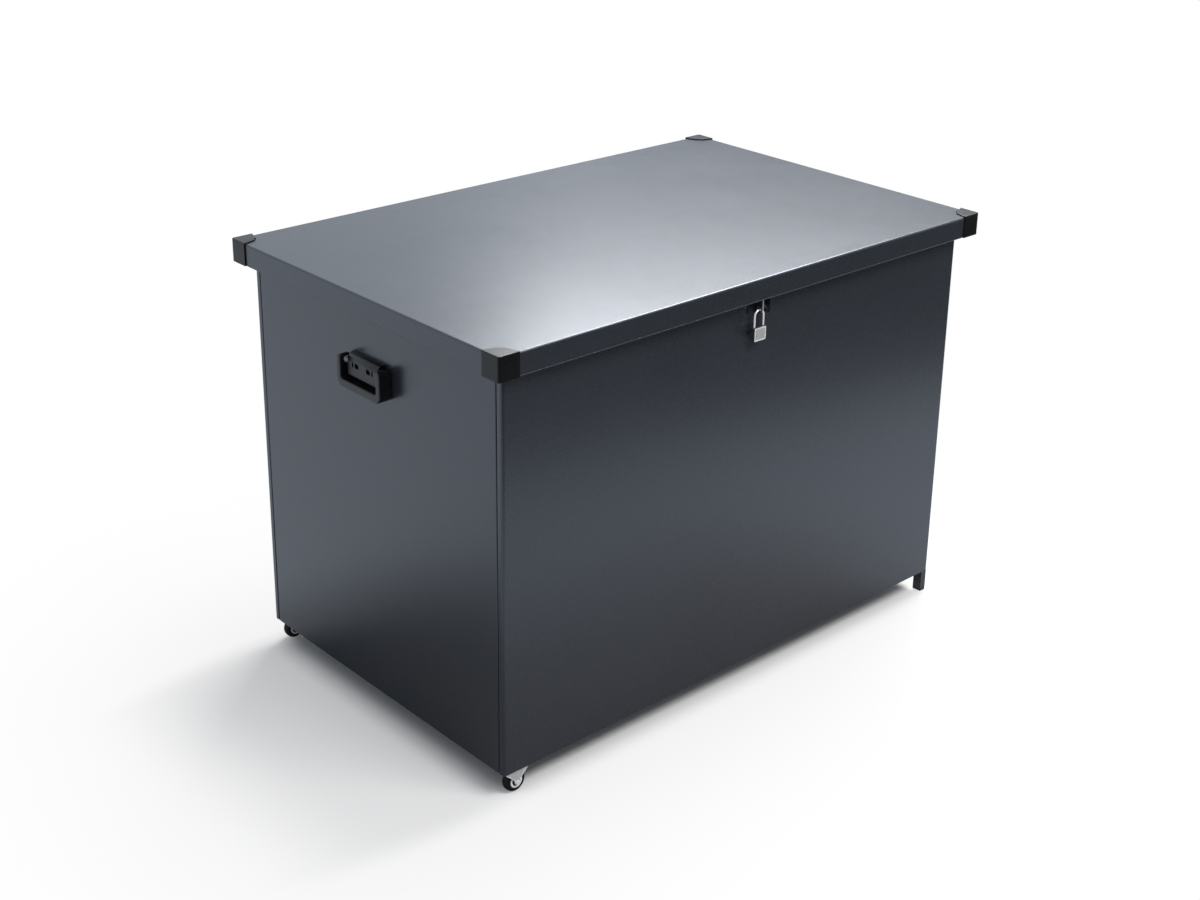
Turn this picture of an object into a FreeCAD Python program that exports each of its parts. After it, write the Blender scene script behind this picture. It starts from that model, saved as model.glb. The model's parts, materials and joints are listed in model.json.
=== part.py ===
import FreeCAD, Part
import math
import os

# Jobsite storage box: a folded-sheet chest with an overhanging lid, end handles, two casters at the
# left end, two feet at the right end and a padlock. Millimetres, +X along the length, front at -Y, +Z up,
# origin on the floor under the middle of the lid.

V = FreeCAD.Vector

# Lid and chest
lid_length = 1200.0
lid_depth = 776.0
total_height = 832.0
ground_clearance = 47.0
lid_overhang = 29.0
sheet = 1.5
cap_height = 44.0
cap_wall = 2.5
cap_leg = 43.0
cap_corner_radius = 8.0
cap_shoulder_share = 0.47
cap_waist_share = 0.56
cap_reach_share = 0.84
skirt_clearance = 1.0
lid_corner_radius = 6.0
lid_bend_radius = 3.5
hem_width = 10.0
gasket_height = 6.0
gasket_width = 12.0
gasket_inset = 10.0
corner_bend_radius = 6.0
seam_bend_radius = 2.0
corner_strip = 14.0
seam_gap = 1.6
seam_seal_recess = 3.0
return_depth = 9.0
rim_width = 30.0
flange_gap = 1.0
floor_gap = 2.0
floor_front_gap = 2.0
stiffener_width = 50.0
stiffener_flange = 14.0
stiffener_height = 12.0
stiffener_end_gap = 14.0
stiffener_spread_share = 0.42

# Casters and feet
wheel_diameter = 42.0
wheel_width = 18.0
tyre_round = 6.5
wheel_rim_radius = 12.5
wheel_disc_radius = 9.5
wheel_boss_radius = 5.0
wheel_disc_thickness = 10.0
wheel_side_gap = 1.5
axle_radius = 3.0
axle_head_radius = 4.2
axle_head = 1.8
fork_length = 50.0
fork_sheet = 2.0
fork_tip = 4.0
fork_toe_radius = 7.0
caster_inset_x = 32.0
caster_inset_y = 3.0
caster_bolt_spread = 17.0
bolt_radius = 3.0
bolt_head_radius = 5.0
bolt_head = 2.5
nut_across = 10.0
nut_height = 5.0
foot_breadth = 15.0
foot_width = 20.0
foot_wall = 2.0
foot_end_inset = 0.5
foot_front_inset = 2.0
foot_plate = 60.0
foot_plate_inset = 6.0
foot_plate_thickness = 3.0
foot_bolt_far = 52.0
foot_bolt_near = 21.0
glide_height = 6.0
glide_plug = 10.0

# Handles
handle_drop = 139.0
bail_drop = 52.0
handle_width = 127.0
handle_depth = 26.0
handle_stand_off = 1.0
bail_arm = 11.5
bail_bar = 14.0
bail_outer_radius = 12.0
bail_inner_radius = 5.0
bail_top_radius = 9.5
bail_edge_radius = 5.0
handle_pivot_out = 12.0
handle_arm_top = 11.0
handle_side_gap = 8.0
base_depth = 16.5
base_below = 26.0
base_above = 14.5
base_round = 13.0
base_edge_radius = 2.0
handle_pin_radius = 3.0
handle_pin_bite = 8.0
shoulder_radius = 5.0
shoulder_end_gap = 0.4
window_width = 11.0
window_height = 9.0
window_depth = 7.0
slot_width = 4.0
slot_gap = 4.0
window_spread = 17.0
window_height_share = 0.55
handle_screw_radius = 2.5
handle_screw_head = 3.0

# Hinges and struts
hinge_inset = 220.0
hinge_length = 120.0
hinge_middle_share = 0.334
hinge_knuckle_radius = 5.5
hinge_pin_radius = 2.5
hinge_sheet = 2.5
hinge_plate_height = 44.0
hinge_leaf_rise = 26.0
hinge_axis_drop = 6.5
hinge_axis_inset = 6.0
knuckle_gap = 0.4
leaf_start = 10.0
strut_inset = 50.0
strut_foot_back = 430.0
strut_foot_drop = 230.0
strut_head_back = 120.0
strut_head_rise = 33.0
strut_tube_radius = 9.0
strut_rod_radius = 4.0
strut_tube_length = 250.0
strut_rod_overlap = 40.0
strut_bore_depth = 225.0
strut_eye = 6.0
strut_eye_radius = 8.0
strut_neck = 14.0
strut_neck_radius = 5.0
strut_stud_radius = 3.5
strut_plate = 3.0
strut_plate_width = 60.0
strut_plate_height = 40.0
strut_post_radius = 7.0
strut_side_gap = 2.5
bracket_width = 34.0
bracket_foot = 18.0

# Hasp and padlock
padlock_x = -0.4
padlock_out = 13.0
padlock_width = 30.0
padlock_body_height = 26.2
padlock_thickness = 10.0
padlock_edge_radius = 3.0
padlock_face_margin = 3.0
padlock_face_recess = 0.6
padlock_drop = 54.5
shackle_radius = 2.5
shackle_width = 28.8
shackle_rise = 34.2
long_leg = 20.0
short_leg = 9.0
plug_radius = 3.8
plug_length = 15.0
keyway_width = 1.4
keyway_length = 5.0
keyway_depth = 10.0
eye_sheet = 3.0
eye_hole_radius = 4.5
eye_reach = 22.0
eye_below_skirt = 30.0
eye_top_gap = 3.0
eye_bottom_radius = 6.0
eye_base = 34.0
eye_base_sheet = 2.5
eye_spacing = 16.4
lid_eye_gap = 3.0
lid_eye_notch = 6.0
eye_mount_drop = 4.0

# Clearances
running_fit = 0.05
slip_fit = 0.1
rest_gap = 0.3

# Places worked out from the sizes above
lid_x = lid_length / 2 - cap_wall
lid_y = lid_depth / 2 - cap_wall
lid_top = total_height - cap_wall
lid_under = lid_top - sheet
cap_bottom = total_height - cap_height
skirt_bottom = cap_bottom + skirt_clearance
skirt_inner = lid_y - sheet
body_x = lid_length / 2 - lid_overhang
body_y = lid_depth / 2 - lid_overhang
body_bottom = ground_clearance
rim_top = lid_under - gasket_height
floor_under = body_bottom + sheet
floor_top = floor_under + sheet
seam_y = body_y - corner_strip
end_panel_y = seam_y - seam_gap
wall_inner_x = body_x - sheet
axle_height = wheel_diameter / 2
fork_half = wheel_width / 2 + wheel_side_gap + fork_sheet
caster_x = -body_x + caster_inset_x
caster_y = -body_y + caster_inset_y + fork_half
foot_x = body_x - foot_end_inset
foot_y = -body_y + foot_front_inset
base_width = handle_width - 2 * (bail_arm + handle_side_gap)
handle_pivot_height = total_height - handle_drop
handle_bottom = handle_pivot_height - bail_drop
base_bottom = handle_pivot_height - base_below
base_top = handle_pivot_height + base_above
hinge_x = lid_length / 2 - hinge_inset
hinge_y = lid_y - hinge_axis_inset
hinge_z = skirt_bottom - hinge_axis_drop
strut_x = -body_x + strut_inset
strut_foot = V(strut_x, hinge_y - strut_foot_back, hinge_z - strut_foot_drop)
strut_head = V(strut_x, hinge_y - strut_head_back, hinge_z + strut_head_rise)
padlock_y = -body_y - padlock_out
padlock_top = skirt_bottom - padlock_drop
arch_radius = shackle_width / 2 - shackle_radius
arch_centre = padlock_top + shackle_rise - shackle_radius - arch_radius
staple_x = padlock_x
arch_inner = arch_radius - shackle_radius
arch_seat = math.sqrt(arch_inner**2 - (eye_sheet / 2) ** 2)
eye_hole_z = arch_centre + arch_seat - rest_gap + eye_hole_radius
eye_bottom = skirt_bottom - eye_below_skirt


def outline(points, radii):
    """Closed wire through the points, with a tangent arc at each corner that has a radius."""
    runs = []
    for index, here in enumerate(points):
        radius = radii[index]
        if radius <= 0:
            runs.append((here, None, here))
            continue
        to_last = (points[index - 1] - here).normalize()
        to_next = (points[(index + 1) % len(points)] - here).normalize()
        half_angle = to_last.getAngle(to_next) / 2
        bisector = (to_last + to_next).normalize()
        reach = radius / math.tan(half_angle)
        middle = here + bisector * (radius / math.sin(half_angle) - radius)
        runs.append((here + to_last * reach, middle, here + to_next * reach))
    edges = []
    for index, (start, middle, stop) in enumerate(runs):
        if middle is not None:
            edges.append(Part.Arc(start, middle, stop).toShape())
        next_start = runs[(index + 1) % len(runs)][0]
        if stop.distanceToPoint(next_start) > 0:
            edges.append(Part.makeLine(stop, next_start))
    return Part.Wire(Part.__sortEdges__(edges))


def prism(plane, corners, start, stop):
    """Solid with a flat outline of (u, v, corner radius) in a plane, reaching from start to stop across it."""
    places = {
        "xy": lambda u, v, w: V(u, v, w),
        "xz": lambda u, v, w: V(u, w, v),
        "yz": lambda u, v, w: V(w, u, v),
    }
    place = places[plane]
    points = [place(u, v, start) for u, v, radius in corners]
    face = Part.Face(outline(points, [radius for u, v, radius in corners]))
    return face.extrude(place(0, 0, stop - start))


def block(low, high):
    """Box between two opposite corners."""
    size = V(*high) - V(*low)
    return Part.makeBox(size.x, size.y, size.z, V(*low))


def rod_between(start, stop, radius):
    """Cylinder between two points."""
    return Part.makeCylinder(radius, start.distanceToPoint(stop), start, stop - start)


def turned(corners, centre):
    """Solid turned about an axis along Y through the centre, from (radius, along, corner radius) points."""
    points = [V(radius, along, 0) for radius, along, corner in corners]
    face = Part.Face(outline(points, [corner for radius, along, corner in corners]))
    solid = face.revolve(V(0, 0, 0), V(0, 1, 0), 360)
    solid.translate(centre)
    return solid


def fused(*shapes):
    """One solid from shapes that touch or overlap."""
    return shapes[0].multiFuse(list(shapes[1:])).removeSplitter()


def mirrored_x(shape):
    """Copy at the other end of the chest."""
    return shape.mirror(V(0, 0, 0), V(1, 0, 0))


def mirrored_y(shape):
    """Copy at the other side of the chest."""
    return shape.mirror(V(0, 0, 0), V(0, 1, 0))


def rounded_rectangle(half_x, half_y, radius):
    """Corner list of a rectangle about the origin."""
    return [
        (-half_x, -half_y, radius),
        (half_x, -half_y, radius),
        (half_x, half_y, radius),
        (-half_x, half_y, radius),
    ]


def soft_topped(half_x, half_y, corner, low, high, bend):
    """Upright block with rounded corners and a bend round its top face."""
    solid = prism("xy", rounded_rectangle(half_x, half_y, corner), low, high)
    edges = [edge for edge in solid.Edges if all(abs(v.Z - high) < bend for v in edge.Vertexes)]
    return solid.makeFillet(bend, edges)


def bolt_spots(near):
    """Places of the caster bolts at the left end and the foot bolts at the right end, on one side."""
    side = 1 if near else -1
    casters = [(caster_x + shift, side * caster_y) for shift in (-caster_bolt_spread, caster_bolt_spread)]
    far_spot = (body_x - foot_bolt_far, side * (-body_y + foot_bolt_near))
    near_spot = (body_x - foot_bolt_near, side * (-body_y + foot_bolt_far))
    return casters, [far_spot, near_spot]


def all_spots():
    """Every bolt place in the floor."""
    return [spot for near in (True, False) for group in bolt_spots(near) for spot in group]


def drilled(shape, spots):
    """Shape with upright bolt holes through its bottom."""
    holes = [
        Part.makeCylinder(bolt_radius + slip_fit, floor_top, V(x, y, 0))
        for x, y in spots
    ]
    return shape.cut(holes)


def long_panel():
    """Front panel: face, wrapped corners, strips on the end faces, inward returns, rim and bottom flanges."""
    face, strip = -body_y, -seam_y
    inner_bend = seam_bend_radius - sheet
    inner_corner = corner_bend_radius - sheet
    inside = body_x - sheet
    tip = body_x - return_depth
    section = [
        (-tip, strip, 0), (-body_x, strip, seam_bend_radius), (-body_x, face, corner_bend_radius),
        (body_x, face, corner_bend_radius), (body_x, strip, seam_bend_radius), (tip, strip, 0),
        (tip, strip - sheet, 0), (inside, strip - sheet, inner_bend), (inside, face + sheet, inner_corner),
        (-inside, face + sheet, inner_corner), (-inside, strip - sheet, inner_bend), (-tip, strip - sheet, 0),
    ]
    inner_x, inner_y = body_x - rim_width - flange_gap, face + rim_width
    flange = [
        (-body_x, strip, seam_bend_radius), (-body_x, face, corner_bend_radius),
        (body_x, face, corner_bend_radius), (body_x, strip, seam_bend_radius),
        (inner_x, strip, 0), (inner_x, inner_y, 0), (-inner_x, inner_y, 0), (-inner_x, strip, 0),
    ]
    panel = fused(
        prism("xy", section, body_bottom, rim_top),
        prism("xy", flange, body_bottom, floor_under),
        prism("xy", flange, rim_top - sheet, rim_top),
    )
    return drilled(panel, all_spots())


def end_panel():
    """Left end panel: face between the seams, inward returns, rim and bottom flanges."""
    inner_bend = seam_bend_radius - sheet
    tip = -body_x + return_depth
    inside = -wall_inner_x
    section = [
        (tip, -end_panel_y, 0), (-body_x, -end_panel_y, seam_bend_radius),
        (-body_x, end_panel_y, seam_bend_radius), (tip, end_panel_y, 0),
        (tip, end_panel_y - sheet, 0), (inside, end_panel_y - sheet, inner_bend),
        (inside, -end_panel_y + sheet, inner_bend), (tip, -end_panel_y + sheet, 0),
    ]
    edge = -body_x + rim_width
    flange = [
        (-body_x, -end_panel_y, seam_bend_radius), (-body_x, end_panel_y, seam_bend_radius),
        (edge, end_panel_y, 0), (edge, -end_panel_y, 0),
    ]
    panel = fused(
        prism("xy", section, body_bottom, rim_top),
        prism("xy", flange, body_bottom, floor_under),
        prism("xy", flange, rim_top - sheet, rim_top),
    )
    screw_holes = [
        rod_between(V(-body_x, y, z), V(-wall_inner_x, y, z), handle_screw_radius + slip_fit)
        for y, z in handle_screw_spots()
    ]
    return panel.cut(screw_holes)


def floor_pan():
    """Flat floor sheet lying on the bottom flanges."""
    half_x = body_x - return_depth - floor_gap
    half_y = body_y - sheet - floor_front_gap
    return drilled(block((-half_x, -half_y, floor_under), (half_x, half_y, floor_top)), all_spots())


def hat_section(centre, base, height):
    """Outline of a folded stiffener whose flanges lie against a sheet at the base height."""
    half, out = stiffener_width / 2, stiffener_width / 2 + stiffener_flange
    way = 1 if height > 0 else -1
    wall = way * sheet
    points = [
        (-out, 0), (-half, 0), (-half, height - wall), (half, height - wall), (half, 0), (out, 0),
        (out, wall), (half + sheet, wall), (half + sheet, height), (-half - sheet, height),
        (-half - sheet, wall), (-out, wall),
    ]
    return [(centre + u, base + v, 0) for u, v in points]


def stiffeners(base, height, half_length, spots):
    """Folded stiffeners across the depth, one solid each."""
    solids = [prism("xz", hat_section(x, base, height), -half_length, half_length) for x in spots]
    return Part.makeCompound(solids)


def seam_seals():
    """Black strips that close the upright seams, set back from the face."""
    low_x, high_x = -body_x + seam_seal_recess, -body_x + return_depth
    strip = block((low_x, -seam_y, body_bottom), (high_x, -end_panel_y, rim_top))
    left = [strip, mirrored_y(strip)]
    return Part.makeCompound(left + [mirrored_x(shape) for shape in left])


def rim_gasket():
    """Seal on the rim flanges, a strip along each side."""
    out_x, out_y = body_x - gasket_inset, body_y - gasket_inset
    in_x, in_y = out_x - gasket_width, out_y - gasket_width
    long_strip = block((-out_x, -out_y, rim_top), (out_x, -in_y, lid_under))
    end_strip = block((-out_x, -in_y, rim_top), (-in_x, in_y, lid_under))
    return Part.makeCompound([long_strip, mirrored_y(long_strip), end_strip, mirrored_x(end_strip)])


def eye_plate(x, back, front, low, high):
    """Upright plate across X with the padlock hole and a rounded lower front corner."""
    corners = [(back, low, 0), (front, low, eye_bottom_radius), (front, high, 0), (back, high, 0)]
    plate = prism("yz", corners, x - eye_sheet / 2, x + eye_sheet / 2)
    start, stop = V(x - eye_sheet, padlock_y, eye_hole_z), V(x + eye_sheet, padlock_y, eye_hole_z)
    return plate.cut(rod_between(start, stop, eye_hole_radius))


def hasp_staple():
    """Eye plate of the chest on its base plate."""
    high = skirt_bottom - eye_top_gap
    plate = eye_plate(staple_x, -body_y, -body_y - eye_reach, eye_bottom, high)
    base = block(
        (staple_x - eye_base / 2, -body_y - eye_base_sheet, eye_bottom),
        (staple_x + eye_base / 2, -body_y, high),
    )
    return fused(plate, base)


def lid_eye():
    """Eye plate of the lid, hanging inside the front skirt beside the staple."""
    x = staple_x + eye_spacing
    front, back = -skirt_inner, -body_y - lid_eye_gap
    high = lid_under - lid_bend_radius
    plate = eye_plate(x, back, front, eye_bottom, high)
    low = skirt_bottom + eye_mount_drop
    base = block((x - eye_base / 2, front, low), (x + eye_base / 2, front + eye_base_sheet, high))
    return fused(plate, base)


def lid_block(low):
    """Outer form of the folded lid sheet, reaching down to the given height."""
    return soft_topped(lid_x, lid_y, lid_corner_radius, low, lid_top, lid_bend_radius)


def lid_shell():
    """Folded lid: top, skirts and an inward hem under all but the rear skirt."""
    inside = soft_topped(
        lid_x - sheet, skirt_inner, lid_corner_radius - sheet, 0, lid_under, lid_bend_radius - sheet
    )
    shell = lid_block(skirt_bottom).cut(inside)
    hem_high = skirt_bottom + sheet
    hem_x, hem_y = lid_x - sheet - hem_width, skirt_inner - hem_width
    hem = prism("xy", rounded_rectangle(lid_x, lid_y, lid_corner_radius), skirt_bottom, hem_high)
    rear_gap = block((-hem_x, -hem_y, skirt_bottom), (hem_x, skirt_inner, hem_high))
    x = staple_x + eye_spacing
    notch = block((x - lid_eye_notch, -skirt_inner, skirt_bottom), (x + lid_eye_notch, -hem_y, hem_high))
    return fused(shell, hem.cut([rear_gap, notch]))


def corner_cap():
    """Moulded cap over the front-left corner of the lid, with a notched top plate."""
    outer = soft_topped(
        lid_length / 2, lid_depth / 2, cap_corner_radius, cap_bottom, total_height, cap_wall - slip_fit
    )
    x0, y0 = -lid_length / 2, -lid_depth / 2
    shoulder, waist, reach = (cap_leg * s for s in (cap_shoulder_share, cap_waist_share, cap_reach_share))
    plate = prism(
        "xy",
        [
            (x0, y0, 0), (x0 + cap_leg, y0, 0), (x0 + reach, y0 + shoulder, 0),
            (x0 + waist, y0 + waist, 0), (x0 + shoulder, y0 + reach, 0), (x0, y0 + cap_leg, 0),
        ],
        lid_top,
        total_height,
    )
    walls = block((x0, y0, cap_bottom), (x0 + cap_leg, y0 + cap_leg, lid_top))
    return outer.common(fused(walls, plate)).cut(lid_block(0)).removeSplitter()


def handle_screw_spots():
    """Places of the handle's screws on the end panel."""
    z = base_bottom + (base_top - base_bottom) * window_height_share
    return [(-window_spread, z), (window_spread, z)]


def handle_base():
    """Left handle's base: a block with a rounded top, two deep windows and two narrow slots."""
    wall, face = -body_x, -body_x - base_depth
    corners = [
        (wall, base_bottom, 0), (face, base_bottom, base_edge_radius),
        (face, base_top, base_round), (wall, base_top, 0),
    ]
    solid = prism("xz", corners, -base_width / 2, base_width / 2)
    cuts = []
    for y, z in handle_screw_spots():
        side = 1 if y > 0 else -1
        slot_y = y + side * (window_width / 2 + slot_gap + slot_width / 2)
        for middle, width in ((y, window_width), (slot_y, slot_width)):
            cuts.append(block(
                (face, middle - width / 2, z - window_height / 2),
                (face + window_depth, middle + width / 2, z + window_height / 2),
            ))
        cuts.append(rod_between(V(face, y, z), V(wall, y, z), handle_screw_radius + slip_fit))
    for side in (-1, 1):
        end = V(pivot_x(), side * base_width / 2, handle_pivot_height)
        cuts.append(rod_between(end, end - V(0, side * handle_pin_bite, 0), handle_pin_radius + running_fit))
    return solid.cut(cuts)


def pivot_x():
    """Place of the left handle's pivot along the length."""
    return -body_x - handle_pivot_out


def handle_bail():
    """Left handle's bail: a U of arms and grip bar, rounded over the pivot so that it clears the panel."""
    half, inner = handle_width / 2, handle_width / 2 - bail_arm
    top, bar = handle_pivot_height + handle_arm_top, handle_bottom + bail_bar
    back, front = -body_x - handle_stand_off, -body_x - handle_stand_off - handle_depth
    loop = [
        (-half, handle_bottom, bail_outer_radius), (half, handle_bottom, bail_outer_radius),
        (half, top, bail_top_radius), (inner, top, 0), (inner, bar, bail_inner_radius),
        (-inner, bar, bail_inner_radius), (-inner, top, 0), (-half, top, bail_top_radius),
    ]
    side = [
        (back, handle_bottom, bail_edge_radius), (front, handle_bottom, bail_edge_radius),
        (front, top, bail_edge_radius), (back, top, handle_arm_top),
    ]
    bail = prism("yz", loop, front, back).common(prism("xz", side, -half, half))
    holes = []
    for way in (-1, 1):
        face = V(pivot_x(), way * inner, handle_pivot_height)
        reach = V(0, way * (handle_pin_bite + slip_fit), 0)
        holes.append(rod_between(face, face + reach, handle_pin_radius + running_fit))
    return bail.cut(holes)


def handle_pins():
    """Left handle's shoulder pins, one solid each."""
    inner = handle_width / 2 - bail_arm
    pins = []
    for way in (-1, 1):
        start = V(pivot_x(), way * (base_width / 2 - handle_pin_bite + slip_fit), handle_pivot_height)
        stop = V(pivot_x(), way * (inner + handle_pin_bite), handle_pivot_height)
        shoulder_start = V(pivot_x(), way * base_width / 2, handle_pivot_height)
        shoulder_stop = V(pivot_x(), way * (inner - shoulder_end_gap), handle_pivot_height)
        shank = rod_between(start, stop, handle_pin_radius)
        pins.append(fused(shank, rod_between(shoulder_start, shoulder_stop, shoulder_radius)))
    return Part.makeCompound(pins)


def handle_screws():
    """Left handle's screws, with nuts inside the panel."""
    seat = -body_x - base_depth + window_depth
    screws = []
    for y, z in handle_screw_spots():
        head = rod_between(V(seat - handle_screw_head, y, z), V(seat, y, z), window_height / 2 - slip_fit)
        shank = rod_between(V(seat, y, z), V(-wall_inner_x, y, z), handle_screw_radius)
        nut_end = V(-wall_inner_x + nut_height, y, z)
        nut = rod_between(V(-wall_inner_x, y, z), nut_end, nut_across / 2)
        screws.append(fused(head, shank, nut))
    return Part.makeCompound(screws)


def caster_fork():
    """Front caster's fork: a web under the chest and two flared legs."""
    half, top, toe = fork_length / 2, body_bottom, axle_height
    corners = [
        (-half, top, 0), (half, top, 0), (half, top - fork_tip, 0),
        (fork_toe_radius, toe + fork_toe_radius, fork_toe_radius),
        (fork_toe_radius, toe - fork_toe_radius, fork_toe_radius - slip_fit),
        (-fork_toe_radius, toe - fork_toe_radius, fork_toe_radius - slip_fit),
        (-fork_toe_radius, toe + fork_toe_radius, fork_toe_radius), (-half, top - fork_tip, 0),
    ]
    leg = prism("xz", [(caster_x + u, v, r) for u, v, r in corners], -fork_half, -fork_half + fork_sheet)
    web = block((caster_x - half, -fork_half, top - fork_sheet), (caster_x + half, fork_half, top))
    fork = fused(web, leg, mirrored_y(leg))
    hole = V(caster_x, -fork_half, axle_height)
    fork = fork.cut(rod_between(hole, hole + V(0, 2 * fork_half, 0), axle_radius + running_fit))
    fork.translate(V(0, caster_y, 0))
    return drilled(fork, bolt_spots(True)[0])


def caster_axle():
    """Front caster's riveted axle."""
    centre = V(caster_x, caster_y, axle_height)
    reach = V(0, fork_half, 0)
    head = V(0, axle_head, 0)
    return fused(
        rod_between(centre - reach, centre + reach, axle_radius),
        rod_between(centre - reach - head, centre - reach, axle_head_radius),
        rod_between(centre + reach, centre + reach + head, axle_head_radius),
    )


def caster_tyre():
    """Front caster's rubber tyre with a round tread."""
    half, outer = wheel_width / 2, wheel_diameter / 2
    corners = [
        (wheel_rim_radius, -half, 0), (outer, -half, tyre_round),
        (outer, half, tyre_round), (wheel_rim_radius, half, 0),
    ]
    return turned(corners, V(caster_x, caster_y, axle_height))


def caster_hub():
    """Front caster's hub: rim ring, recessed disc and boss."""
    rim, half = wheel_rim_radius - running_fit, wheel_width / 2
    disc, boss = wheel_disc_thickness / 2, half + wheel_side_gap / 2
    bore = axle_radius + running_fit
    upper = [
        (rim, half, 0), (wheel_disc_radius, half, 0), (wheel_disc_radius, disc, 0),
        (wheel_boss_radius, disc, 0), (wheel_boss_radius, boss, 0), (bore, boss, 0),
    ]
    lower = [(radius, -along, corner) for radius, along, corner in reversed(upper)]
    return turned(upper + lower, V(caster_x, caster_y, axle_height))


def hexagon(x, y, across):
    """Corner list of a nut."""
    radius = across / math.sqrt(3)
    turns = [math.radians(60 * step) for step in range(6)]
    return [(x + radius * math.cos(turn), y + radius * math.sin(turn), 0) for turn in turns]


def bolts(spots, seat):
    """Bolts whose heads sit under the seat and whose nuts stand on the floor pan."""
    solids = []
    for x, y in spots:
        head = Part.makeCylinder(bolt_head_radius, bolt_head, V(x, y, seat - bolt_head))
        shank = Part.makeCylinder(bolt_radius, floor_top - seat, V(x, y, seat))
        nut = prism("xy", hexagon(x, y, nut_across), floor_top, floor_top + nut_height)
        solids.append(fused(head, shank, nut))
    return Part.makeCompound(solids)


def foot():
    """Front foot: an upright tube whose welded plate lies under the chest, back from its edges."""
    low = body_bottom - foot_plate_thickness
    edge_x, edge_y = body_x - foot_plate_inset, -body_y + foot_plate_inset
    plate = block((edge_x - foot_plate, edge_y, low), (edge_x, edge_y + foot_plate, body_bottom))
    tube = block((foot_x - foot_breadth, foot_y, glide_height), (foot_x, foot_y + foot_width, body_bottom))
    bore = block(
        (foot_x - foot_breadth + foot_wall, foot_y + foot_wall, glide_height),
        (foot_x - foot_wall, foot_y + foot_width - foot_wall, low),
    )
    return drilled(fused(plate, tube).cut(bore), bolt_spots(True)[1])


def foot_glides():
    """Plastic glides plugged into both feet."""
    sole = block((foot_x - foot_breadth, foot_y, 0), (foot_x, foot_y + foot_width, glide_height))
    inset = foot_wall + slip_fit
    plug = block(
        (foot_x - foot_breadth + inset, foot_y + inset, 0),
        (foot_x - inset, foot_y + foot_width - inset, glide_height + glide_plug),
    )
    glide = fused(sole, plug)
    return Part.makeCompound([glide, mirrored_y(glide)])


def knuckle(x, start, stop):
    """Hinge knuckle about the lid's axis."""
    tube = rod_between(V(x + start, hinge_y, hinge_z), V(x + stop, hinge_y, hinge_z), hinge_knuckle_radius)
    bore = rod_between(
        V(x + start, hinge_y, hinge_z), V(x + stop, hinge_y, hinge_z), hinge_pin_radius + running_fit
    )
    return tube, bore


def hinge_chest_leaf(x):
    """Chest leaf: plate on the rear panel with two arms out to the knuckles."""
    half, mid = hinge_length / 2, hinge_length * hinge_middle_share / 2
    shelf_low = hinge_z - hinge_knuckle_radius
    shelf_high = shelf_low + hinge_sheet
    plate = block(
        (x - half, body_y, shelf_high - hinge_plate_height), (x + half, body_y + hinge_sheet, shelf_high)
    )
    pieces, bores = [plate], []
    for start, stop in ((-half, -mid - knuckle_gap), (mid + knuckle_gap, half)):
        tube, bore = knuckle(x, start, stop)
        pieces += [tube, block((x + start, body_y, shelf_low), (x + stop, hinge_y, shelf_high))]
        bores.append(bore)
    return fused(*pieces).cut(bores)


def hinge_lid_leaf(x):
    """Lid leaf: plate inside the rear skirt with the middle knuckle."""
    half, mid = hinge_length / 2, hinge_length * hinge_middle_share / 2
    tube, bore = knuckle(x, -mid, mid)
    low, high = skirt_bottom + leaf_start, skirt_bottom + leaf_start + hinge_leaf_rise
    inner = skirt_inner - hinge_sheet
    plate = block((x - half, inner, low), (x + half, skirt_inner, high))
    tab = block((x - mid, inner, hinge_z), (x + mid, skirt_inner, low))
    return fused(tube, tab, plate).cut(bore)


def hinge_pin(x):
    """Hinge pin through the three knuckles."""
    half = hinge_length / 2
    return rod_between(V(x - half, hinge_y, hinge_z), V(x + half, hinge_y, hinge_z), hinge_pin_radius)


def strut_way():
    """Unit vector from a strut's foot to its head."""
    return (strut_head - strut_foot).normalize()


def cross_rod(centre, start, stop, radius):
    """Cylinder along X beside a strut pivot, from start to stop measured inwards from the strut's middle."""
    return rod_between(centre + V(start, 0, 0), centre + V(stop, 0, 0), radius)


def strut_anchor():
    """Left strut's anchor: plate on the end panel, post and stud."""
    wall = -wall_inner_x - strut_x
    face = wall + strut_plate
    half_y, half_z = strut_plate_width / 2, strut_plate_height / 2
    low = strut_foot + V(wall, -half_y, -half_z)
    plate = Part.makeBox(strut_plate, strut_plate_width, strut_plate_height, low)
    seat = -strut_eye / 2 - rest_gap
    tip = strut_eye / 2 + rest_gap
    return fused(
        plate,
        cross_rod(strut_foot, face, seat, strut_post_radius),
        cross_rod(strut_foot, seat, tip, strut_stud_radius),
        cross_rod(strut_foot, tip, tip + strut_plate, strut_post_radius),
    )


def strut_tube():
    """Left strut's tube with its eye."""
    way = strut_way()
    neck = strut_foot + way * strut_neck
    end = strut_foot + way * strut_tube_length
    half = strut_eye / 2
    tube = fused(
        cross_rod(strut_foot, -half, half, strut_eye_radius),
        rod_between(strut_foot + way * (strut_post_radius + rest_gap), neck, strut_neck_radius),
        rod_between(neck, end, strut_tube_radius),
    )
    bore = rod_between(end - way * strut_bore_depth, end, strut_rod_radius + running_fit)
    return tube.cut([bore, cross_rod(strut_foot, -half, half, strut_stud_radius + running_fit)])


def strut_rod():
    """Left strut's rod with its eye, reaching deep into the tube when the lid is shut."""
    way = strut_way()
    half = strut_eye / 2
    start = strut_foot + way * (strut_tube_length - strut_bore_depth + strut_rod_overlap / 2)
    stop = strut_head - way * (strut_stud_radius + strut_eye_radius) / 2
    rod = fused(
        rod_between(start, stop, strut_rod_radius - running_fit),
        cross_rod(strut_head, -half, half, strut_eye_radius),
    )
    return rod.cut(cross_rod(strut_head, -half, half, strut_stud_radius))


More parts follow.
